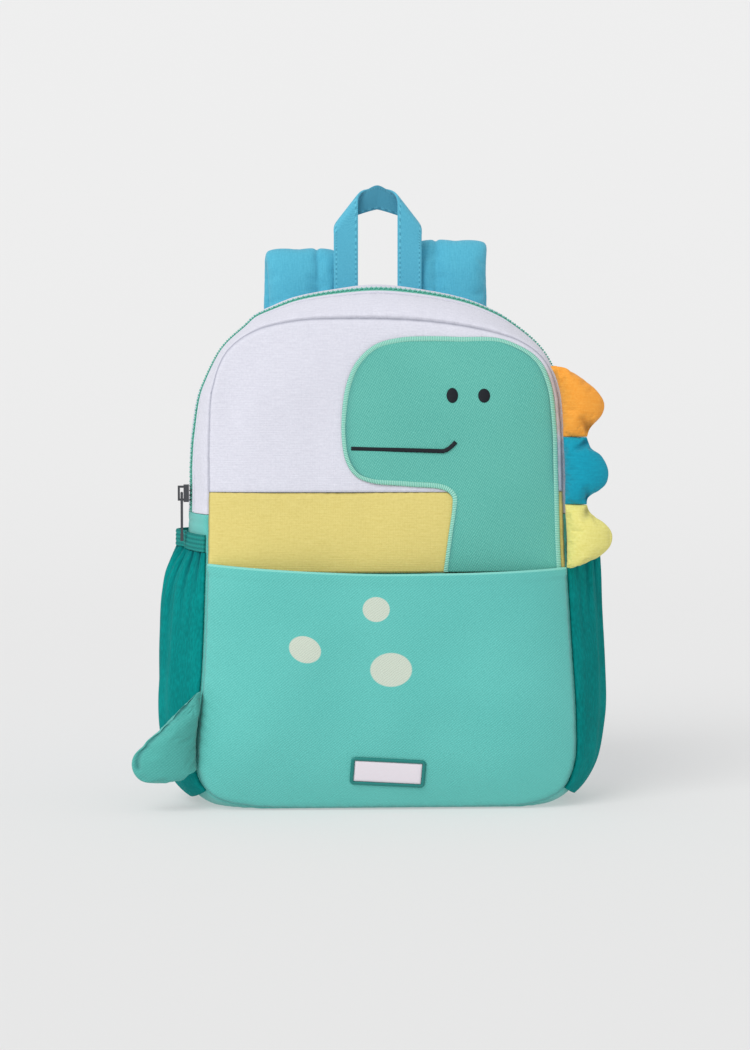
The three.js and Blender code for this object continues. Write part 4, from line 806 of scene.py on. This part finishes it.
# The label plate is a small moulded rubber frame round a pale field that is left bare. It is sewn to the
# pocket a little askew.
LABEL_Z = 25
rubber_rim = Finish("teal_rubber", srgb(12, 124, 118), 0.45, Specular_IOR_Level=0.5)
rubber_field = Finish("pale_rubber", srgb(236, 226, 234), 0.5, Specular_IOR_Level=0.45)
u, v = grid(44, 16)
c, s = math.cos(math.radians(-3.4)), math.sin(math.radians(-3.4))
x, z = (u - 0.5) * 43.2, (v - 0.5) * 14.2
to_rim = np.maximum(np.abs(2 * u - 1) ** 30, np.abs(2 * v - 1) ** 12)
up = 0.5 + np.sqrt(np.clip(1 - to_rim, 0, 1)) * 0.9
px, pz = x * c - z * s, LABEL_Z + x * s + z * c
field = wall("label_field_plate", on_pocket(px, pz, up), 0.4, rubber_field, np.stack([px, pz], -1))
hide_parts("label_field")
corner_line = []
for turn, (sx, sz) in enumerate(((1, 1), (-1, 1), (-1, -1), (1, -1))):
    for step in np.linspace(0, 1, 10):
        angle = (turn + step) * math.pi / 2
        corner_line.append((sx * 21 + 2.5 * math.cos(angle), sz * 6.5 + 2.5 * math.sin(angle)))
x, z = np.array(corner_line).T
turned_line = np.stack([x * c - z * s, LABEL_Z + x * s + z * c], -1)
turned_line = run_through(turned_line, 321, closed=True)[::-1]
frame_rim = raised_line("label_frame_rim", turned_line, 0, 2.3, 0.9, 1.1, rubber_rim, on_pocket, 12)
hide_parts("label_frame")

# The side pockets are thin teal cloth, gathered at the top into a ribbed elastic binding. The left mouth hugs
# the bag with a small gape behind the zip, and the right one stands open.
# Up the pocket: the way up, and how far the left and the right pocket stand out, as shares.
POCKET_TABLE = np.array([
    (0, .17, .17), (.1, .46, .4), (.3, .86, .72), (.55, 1, .82), (.75, .98, .8), (.88, .72, .82),
    (.96, .3, .8), (1, .01, .78),
])
teal_cloth = Finish("teal_cloth", srgb(4, 140, 136), 0.9, Specular_IOR_Level=0.08)
x, y = teal_cloth.plane()
grain = teal_cloth.noise(x, y, 0.0008, 0.004) * 0.6 + teal_cloth.noise(x, y, 0.02, 0.03) * 0.4
teal_cloth.paint(teal_cloth.blend(grain.ramp(0.25, 0.75), srgb(2, 122, 120), srgb(4, 148, 145)))
# Painted shade where the mesh's shade attribute marks seams and folds.
teal_cloth.paint_shade(0.8)
teal_cloth.relief(y.wave(0.0009) * x.wave(0.0009), 0.0001)
elastic = Finish("elastic_binding", srgb(20, 152, 142), 0.8, Specular_IOR_Level=0.25)
x, y = elastic.plane()
elastic_rib = y.wave(0.0027) * 0.7 + x.wave(0.0012) * 0.3
elastic.paint(elastic.blend(elastic_rib, srgb(8, 108, 106), srgb(34, 160, 152)))
elastic.relief(x.wave(0.0012), 0.0002)


def pocket_room(column, rise, across):
    """How far a pocket stands off the gusset: its column of the table, smoothed a little up and down."""
    reach = 0.3 * rise * (1 - rise)
    ways, shares = POCKET_TABLE[:, 0], POCKET_TABLE[:, column]
    near = [np.interp(rise + step * reach, ways, shares) for step in (-1, -0.5, 0, 0.5, 1)]
    share = sum(near) / len(near)
    gape = np.maximum(1 - ((across - 0.74) / 0.22) ** 2, 0) * (column == 1)
    return 14.5 * share * arch(across) + 7.5 * gape * rise**4


for name, side, column, seed in (("left", -1, 1, 51), ("right", 1, 2, 52)):
    low, high = seam_share(side, 13), seam_share(side, 162)
    u, v = grid(180, 100)
    rise = v**1.1
    share = low + (high - low) * rise
    room = pocket_room(column, rise, u)
    gather = 1.6 * np.sqrt(rise) * np.cos(10 * math.pi * u) * arch(u)
    proud = GAP + 1.5 + room + np.maximum(gather, -room / 2)
    across_mm, up_mm = u * SPAN, rise * 150
    drift = 2.5 * soft_noise(seed, across_mm, up_mm * 0.3, 40)
    fold = np.sin(2 * math.pi * (across_mm + drift) / 8.6)
    fold = fold + 0.6 * np.sin(2 * math.pi * (across_mm - drift) / 5.3 + 1)
    top_fade = np.exp(-(1 - rise) / 0.16)
    billow = 0.5 * soft_noise(seed + 5, across_mm, up_mm * 0.6, 30) * np.sin(math.pi * rise) ** 0.5
    relief = (0.8 * fold * top_fade + billow) * np.clip(np.minimum(u, 1 - u) / 0.06, 0, 1)
    # Painted shade in the valleys of the gathers near the top, and under the elastic binding.
    shade = np.clip(-fold, 0, 1) * top_fade * 0.9 + 0.5 * np.exp(-(1 - rise) * 60)
    pocket = wall(f"side_pocket_{name}_cloth", on_gusset(share, u, proud, GAP), 1.5, teal_cloth,
                  np.stack([across_mm, up_mm], -1), relief, shade)
    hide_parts(f"side_pocket_{name}")
    low, high = seam_share(side, 162.3), seam_share(side, 173)
    u, v = grid(180, 22)
    proud = 2 * GAP + 2 + pocket_room(column, np.ones_like(u), u)
    across_mm = u * SPAN
    rib = 0.42 * np.abs(np.sin(math.pi * v * 4)) - 0.3
    rib = rib + 0.16 * np.sin(2 * math.pi * (across_mm + v * 2) / 3.1)
    points, place = on_gusset(low + (high - low) * v, u, proud), np.stack([across_mm, v * 10.7], -1)
    binding = wall(f"side_binding_{name}_elastic", points, 2, elastic, place, rib)
    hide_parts(f"side_binding_{name}")

# The spikes are three small stuffed cushions sewn into the right front seam, each pinched where it meets the
# next. The tail is a longer one in the left seam. Each is blown up from a flat form with its sewn edge held.
# Down each spike: how far its outer edge stands out, and the way down, as shares.
SPIKE_TABLES = {
    "orange": [(-.2, 0), (.11, .07), (.44, .2), (.72, .37), (.86, .54), (.8, .69), (.55, .885), (.49, 1)],
    "blue": [(.48, 0), (.58, .16), (.8, .29), (.94, .5), (.9, .68), (.74, .79), (.51, .9), (.485, 1)],
    "yellow": [(.485, 0), (.55, .12), (.88, .31), (1.03, .47), (1, .62), (.82, .77), (.5, .91), (.12, 1)],
}
SPIKES = (
    ("orange", 279, 44.6, "orange_cloth", (236, 146, 40), (250, 178, 78)),
    ("blue", 234.4, 42.4, "blue_cloth", (2, 134, 162), (10, 164, 190)),
    ("yellow", 192, 40, "pale_yellow_cloth", (214, 204, 104), (240, 233, 150)),
)
SPIKE_OUT, SPIKE_COLUMNS, SPIKE_ROWS = 29.5, 48, 30
# The creases of each spike, from their deep end to their shallow one, in shares down and out.
SPIKE_CREASES = {
    "orange": [(.93, .95, .72, .35), (.9, .97, .8, .7)],
    "blue": [(.06, .95, .2, .3), (.92, .95, .74, .55)],
    "yellow": [(.06, .95, .22, .5)],
}
TAIL_TOP, TAIL_HEIGHT, TAIL_OUT, TAIL_COLUMNS = 76, 50, 41, 58
TAIL_TABLE = np.array([
    (.02, .02), (.3, .24), (.6, .48), (.84, .67), (.99, .82), (1, .97), (.88, 1.1), (.62, 1.14),
    (.3, 1.11), (.06, 1),
])
GROWN, STEPS = 10, 20


def pillow(name, middle, out, half_out, half_in, finish, uv, sewn, growth=0.06, cap=4.0, shade=None):
    """A stuffed piece: two grids on either side of a middle one, joined at its border and filled by a cloth
    simulation. sewn marks the points that are held, and no point moves by more than the cap. The simulation
    runs on the piece made larger by GROWN, because cloth of this size is too small for it."""
    rows, columns = middle.shape[:2]
    number = np.arange(rows * columns).reshape(rows, columns)
    inner = number + rows * columns
    border = np.ones((rows, columns), bool)
    border[1:-1, 1:-1] = False
    inner[border] = number[border]
    points = np.vstack([(middle + out * np.where(border, 0, half_out)[..., None]).reshape(-1, 3),
                        (middle - out * np.where(border, 0, half_in)[..., None]).reshape(-1, 3)])
    faces = np.vstack([quads(number), quads(inner)[:, ::-1]])
    row, column = rows // 2, columns // 2
    beside = middle[row, column + 1] - middle[row, column]
    above = middle[row + 1, column] - middle[row, column]
    if np.cross(beside, above) @ out[row, column] < 0:
        faces = faces[:, ::-1]
    used = np.unique(faces)
    renumber = np.zeros(len(points), int)
    renumber[used] = np.arange(len(used))
    points, faces = points[used], renumber[faces]
    both_uv = np.vstack([uv.reshape(-1, 2)] * 2)[used]
    held = np.tile((sewn | border).ravel(), 2)[used]
    if shade is not None:
        shade = np.tile(shade.ravel(), 2)[used]
    made = make_mesh(name, points, faces, finish, uv=both_uv, shade=shade)
    group = made.vertex_groups.new(name="sewn")
    group.add(np.flatnonzero(held).tolist(), 1.0, "REPLACE")
    made.data.vertices.foreach_set("co", (points * MM * GROWN).astype(np.float32).ravel())
    cloth = made.modifiers.new("filling", "CLOTH")
    settings = cloth.settings
    settings.quality = 5
    settings.mass = 0.3
    settings.tension_stiffness = settings.compression_stiffness = 15
    settings.shear_stiffness = 5
    settings.bending_stiffness = 0.4
    settings.use_pressure = True
    settings.uniform_pressure_force = 4.0
    settings.shrink_min = -growth
    settings.vertex_group_mass = "sewn"
    settings.effector_weights.gravity = 0
    cloth.collision_settings.use_collision = False
    cloth.point_cache.frame_start, cloth.point_cache.frame_end = 1, STEPS
    for step in range(1, STEPS + 1):
        scene.frame_set(step)
    shown = made.evaluated_get(bpy.context.evaluated_depsgraph_get()).to_mesh()
    filled = np.empty(len(points) * 3, np.float32)
    shown.vertices.foreach_get("co", filled)
    made.modifiers.remove(cloth)
    made.vertex_groups.remove(group)
    moved = filled.reshape(-1, 3) / (MM * GROWN) - points
    far = np.linalg.norm(moved, axis=1, keepdims=True)
    moved *= np.tanh(far / cap) * cap / np.maximum(far, 1e-6)
    made.data.vertices.foreach_set("co", ((points + moved) * MM).astype(np.float32).ravel())
    scene.frame_set(1)
    made.data.update()
    smooth = made.modifiers.new("smooth", "SUBSURF")
    smooth.levels = smooth.render_levels = 1
    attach(made, "bag")
    return made


def stuffed(name, base, tip, thickness, forward, finish, columns, rows, creases=(), lip=0.0):
    """The form between a sewn base line and an outer line, thickest in its middle and set a little forward.
    Each crease runs between two points of the grid, and lip says how deep the edge's stitches sink."""
    u, v = grid(columns, rows)
    line = base[None] * (1 - v)[..., None] + tip[None] * v[..., None]
    x, z = line[..., 0], line[..., 1]
    middle = np.stack([x, front_y(z) - 1.5 - forward * v, z], -1)
    swell = np.sqrt(np.maximum(np.sin(math.pi * u) * np.sin(math.pi * (0.06 + 0.94 * v)), 0))
    fold = lip * np.exp(-(((v - 0.9) / 0.025) ** 2)) * (u < 0.6)
    for start_u, start_v, end_u, end_v in creases:
        du, dv = end_u - start_u, end_v - start_v
        way = np.clip(((u - start_u) * du + (v - start_v) * dv) / (du * du + dv * dv), 0, 1)
        off = np.hypot(u - start_u - du * way, v - start_v - dv * way)
        fold = np.maximum(fold, np.exp(-((off / 0.035) ** 2)) * (1 - way))
    out = np.broadcast_to(np.array([0.0, -1.0, 0.0]), middle.shape)
    before_filling = 0.85 * thickness * swell
    half_out = np.maximum(0.4 + 0.65 * before_filling - 3.5 * fold, 0.3)
    half_in = 0.4 + 0.35 * before_filling
    # The creases and the lip's stitch line get painted shade through the shade attribute.
    return pillow(name, middle, out, half_out, half_in, finish, line, fold > 0.5, shade=0.8 * fold)


for name, top, height, slot, low, high in SPIKES:
    finish = canvas(slot, srgb(*low), srgb(*high), 0.6, 0.001)
    table = np.array(SPIKE_TABLES[name])
    outer = np.stack([HALF + table[:, 0] * SPIKE_OUT, top + 0.25 - table[:, 1] * (height + 0.5)], -1)
    tip = run_through(outer, SPIKE_COLUMNS)
    level = top + 0.25 - np.linspace(0, 1, SPIKE_COLUMNS) * (height + 0.5)
    base = np.array([(seam_at(seam_share(1, z))[0][0] + 0.6, z) for z in level])
    spike = stuffed(f"spike_{name}_stuffed", base, tip, 13, 3, finish, SPIKE_COLUMNS, SPIKE_ROWS,
                    SPIKE_CREASES[name])
    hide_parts(f"spike_{name}")
tail_twill = twill("tail_twill", srgb(60, 152, 144), srgb(98, 192, 183))
level = TAIL_TOP - np.linspace(0, 1, TAIL_COLUMNS) * TAIL_HEIGHT
base = np.array([(seam_at(seam_share(-1, z))[0][0] - 0.6, z) for z in level])
out_x = base[TAIL_COLUMNS // 2, 0] - TAIL_TABLE[:, 0] * TAIL_OUT
tip = run_through(np.stack([out_x, TAIL_TOP - TAIL_TABLE[:, 1] * TAIL_HEIGHT], -1), TAIL_COLUMNS)
tail = stuffed("tail_stuffed", base, tip, 17, 9, tail_twill, TAIL_COLUMNS, 34, lip=0.7)
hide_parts("tail")

# The carrying loop is flat blue webbing. Its legs face the front, and each folds back over a slanting line
# into the top, where the band's other face is in front.
HANDLE_TOP, HANDLE_HALF, HANDLE_APART = 397, 8, 21
FOLD_RADIUS, SLANT_LENGTH, LEG_FOOT = 3.5, 18, 285


def webbing(name, low, high, source="UV", edge=0.0064):
    """Dense cloth webbing: a fine slanting weave, and a sunk row of stitches along each edge."""
    finish = Finish(name, high, 0.8, Specular_IOR_Level=0.3, Sheen_Weight=0.2)
    x, y = finish.plane(source)
    weave = (x + y).wave(0.0009) * 0.5 + finish.noise(x, y, 0.0012, 0.0012) * 0.5
    from_stitch = (y.math("ABSOLUTE") - edge).math("ABSOLUTE")
    row = 1 - from_stitch.ramp(0.0002, 0.0006)
    stitch = row * x.wave(0.0032).ramp(0.3, 0.5)
    # Painted shade darkens the sunk row of stitches; the light dashes on it are the thread.
    shade = weave * (1 - row * 0.7) + stitch * 0.9
    finish.paint(finish.blend(shade, low, high))
    # Painted shade where the mesh's shade attribute marks seams and folds.
    finish.paint_shade(0.8)
    finish.relief(weave * 0.4 - row + stitch, 0.00025)
    return finish


def band(name, centre, wide, thickness, finish, shaded, sides=28, power=0.3):
    """A band along a centre line. wide is the way from it to the band's edge at each point, and the section
    is a rounded rectangle. shaded says how deep in shade the back face is at each point."""
    thick = np.cross(np.gradient(centre, axis=0), wide)
    thick /= np.linalg.norm(thick, axis=1, keepdims=True)
    angle = np.arange(sides) * 2 * math.pi / sides
    across = np.sign(np.cos(angle)) * np.abs(np.cos(angle)) ** power
    up = np.sign(np.sin(angle)) * np.abs(np.sin(angle)) ** power * thickness / 2
    rows = np.concatenate([[0], np.arange(len(centre)), [len(centre) - 1]])
    shrink = np.ones(len(rows))
    shrink[[0, -1]] = 0
    points = centre[rows, None] + shrink[:, None, None] * (
        wide[rows, None] * across[None, :, None] + thick[rows, None] * up[None, :, None]
    )
    number = np.arange(len(rows) * sides).reshape(len(rows), sides)
    after = np.roll(number, -1, 1)
    faces = np.stack([number[:-1], after[:-1], after[1:], number[1:]], -1).reshape(-1, 4)
    reach = np.concatenate([[0], np.cumsum(np.linalg.norm(np.diff(centre, axis=0), axis=1))])[rows]
    over = np.repeat(across[None] * HANDLE_HALF, len(rows), 0)
    uv = np.stack([np.repeat(reach[:, None], sides, 1), over], -1)
    shade = shaded[rows][:, None] * (np.sin(angle) > 0.01)
    made = make_mesh(name, points.reshape(-1, 3), faces[:, ::-1], finish, uv=uv.reshape(-1, 2), shade=shade)
    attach(made, "bag")
    return made


blue_webbing = webbing("blue_webbing", srgb(66, 160, 190), srgb(104, 198, 222))
foot_fullness = float(fullness(np.array(float(HANDLE_APART)), np.array(float(LEG_FOOT))))
handle_y = BACK + FOAM + FOAM_SWELL * foot_fullness + GAP + 1
slope, fold_turn, lean = math.radians(52), math.radians(165), math.radians(12)
fold_line = np.array([math.cos(slope), 0, math.sin(slope)])
over_fold = np.array([-math.sin(slope), 0, math.cos(slope)])
slanted = fold_line * HANDLE_HALF / math.cos(slope)


def folded(angle):
    """The centre's way over the fold: round a cylinder about the fold line, and along that line."""
    round_line = over_fold * np.sin(angle)[:, None] + np.array([0, 1.0, 0]) * (1 - np.cos(angle))[:, None]
    return FOLD_RADIUS * (round_line + fold_line * (angle * math.tan(slope))[:, None])


top_z = HANDLE_TOP - HANDLE_HALF * math.cos(lean)
fold_start = np.array([-HANDLE_APART, handle_y, top_z - 4.7 - folded(np.array([fold_turn]))[0, 2]])
leg_z = np.linspace(LEG_FOOT, fold_start[2], 60)[:-1, None]
leg = np.hstack([0 * leg_z - HANDLE_APART, 0 * leg_z + handle_y, leg_z])
slant = np.clip((leg_z - fold_start[2] + SLANT_LENGTH) / SLANT_LENGTH, 0, 1)
leg_wide = np.array([HANDLE_HALF, 0, 0]) * (1 - slant) + slanted * slant
fold = fold_start + folded(np.linspace(0, fold_turn, 50))
share = np.linspace(0, 1, 31)[1:, None]
middle = np.array([0, fold[-1, 1] + 1, top_z])
top = fold[-1] + (middle - fold[-1]) * share
top[:, 2:] = fold[-1, 2] + (top_z - fold[-1, 2]) * (1 - (1 - share) ** 1.3)
upright = HANDLE_HALF * np.array([0, -math.sin(lean), math.cos(lean)])
top_wide = slanted + (upright - slanted) * share
half_loop = np.vstack([leg, fold, top])
half_wide = np.vstack([leg_wide, np.repeat(slanted[None], 50, 0), top_wide])
loop = np.vstack([half_loop, half_loop[-2::-1] * (-1, 1, 1)])
loop_wide = np.vstack([half_wide, half_wide[-2::-1] * (-1, 1, 1)])
from_middle = np.abs(np.arange(len(loop)) - len(half_loop) + 1)
# Painted shade on the back face of the loop's top.
in_shade = 0.55 * np.clip((62 - from_middle) / 15, 0, 1)
handle = band("handle_webbing", loop, loop_wide, 2, blue_webbing, in_shade)
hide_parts("handle")

# Each shoulder strap is a padded band, stitched along its edges and along one line nearer the bag's middle.
# It is sewn in at the back seam, folds over above it and hangs down behind the back.
STRAP_WIDTH, STRAP_LENGTH, STRAP_END = 50, 480, 88
STRAP_ROWS, STRAP_COLUMNS = 27, 150
# Along the strap: how far it lies out and back, its height and its width, as shares. A negative height is
# counted from the strap's end up to the seam.
STRAP_TABLE = [
    (0, .3, 0, .94), (0, .42, .45, .97), (.02, .6, .82, 1), (.04, 1.05, 1, 1), (.06, 1.52, .86, 1),
    (.08, 1.62, .5, 1), (.14, 1.55, -.95, .98), (.32, 1.4, -.72, .93), (.58, 1.22, -.46, .86),
    (.84, .98, -.2, .8), (1, .8, -1e-9, .74),
]
for name, side, top in (("left", -1, 356), ("right", 1, 362)):
    seam_z, fold_z = HEIGHT - 14, top - 5.5
    path = []
    for out, back, rise, _ in STRAP_TABLE:
        low, high = (seam_z, fold_z) if rise >= 0 else (STRAP_END, seam_z)
        place = side * (48 + out * 28), BACK + FOAM + FOAM_SWELL + back * 18, low + (high - low) * abs(rise)
        path.append(place)
    line = run_through(path, STRAP_COLUMNS)
    share = np.linspace(0, 1, STRAP_COLUMNS)
    widths = [row[3] for row in STRAP_TABLE]
    width = STRAP_WIDTH * np.interp(share * (len(widths) - 1), np.arange(len(widths)), widths)
    along = np.gradient(line, axis=0)
    along /= np.linalg.norm(along, axis=1, keepdims=True)
    wide = np.array([1.0, 0, 0]) - along * along[:, :1]
    wide /= np.linalg.norm(wide, axis=1, keepdims=True)
    thick = np.cross(along, wide)
    v = np.linspace(-1, 1, STRAP_ROWS)
    channel = -side * 0.36
    middle = line[None] + wide[None] * (v[:, None, None] * width[None, :, None] / 2)
    out = np.broadcast_to(thick[None], middle.shape)
    profile = (1 - np.abs(v) ** 4) ** 0.5 * (1 - 0.4 * np.exp(-(((v - channel) / 0.035) ** 2)))
    ends = np.clip(np.minimum(share, 1 - share) / 0.03, 0, 1) ** 0.5
    half = 5.2 * profile[:, None] * ends[None] + 0.3
    stitched = np.abs(v - channel)[:, None] < 0.03 + 0 * share[None]
    uv = np.stack([np.repeat(share[None] * STRAP_LENGTH, STRAP_ROWS, 0), v[:, None] * width[None] / 2], -1)
    strap = pillow(f"shoulder_strap_{name}_padded", middle, out, half, half, strap_cloth, uv, stitched,
                   growth=0.05, cap=3)
    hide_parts(f"shoulder_strap_{name}")

# The lower ends of the straps, finished plainly: webbing, cloth tabs and plastic ladder adjusters.
plain_webbing = webbing("plain_webbing", srgb(66, 160, 190), srgb(104, 198, 222), "Object", 1.0)
plastic = Finish("teal_plastic", srgb(70, 172, 204), 0.35, Specular_IOR_Level=0.5)
for side in ("left", "right"):
    dress("strap_webbing_" + side, plain_webbing)
    dress("strap_tab_" + side, plain_webbing)
    dress("adjuster_" + side, plastic)

# The zip's slider and its long wire pull are dark plated metal. The pull swings on the slider's bridge.
metal = Finish("dark_metal", srgb(92, 94, 98), 0.32, Metallic=1.0)
dress("zip_slider", metal)
dress("zip_pull", metal)
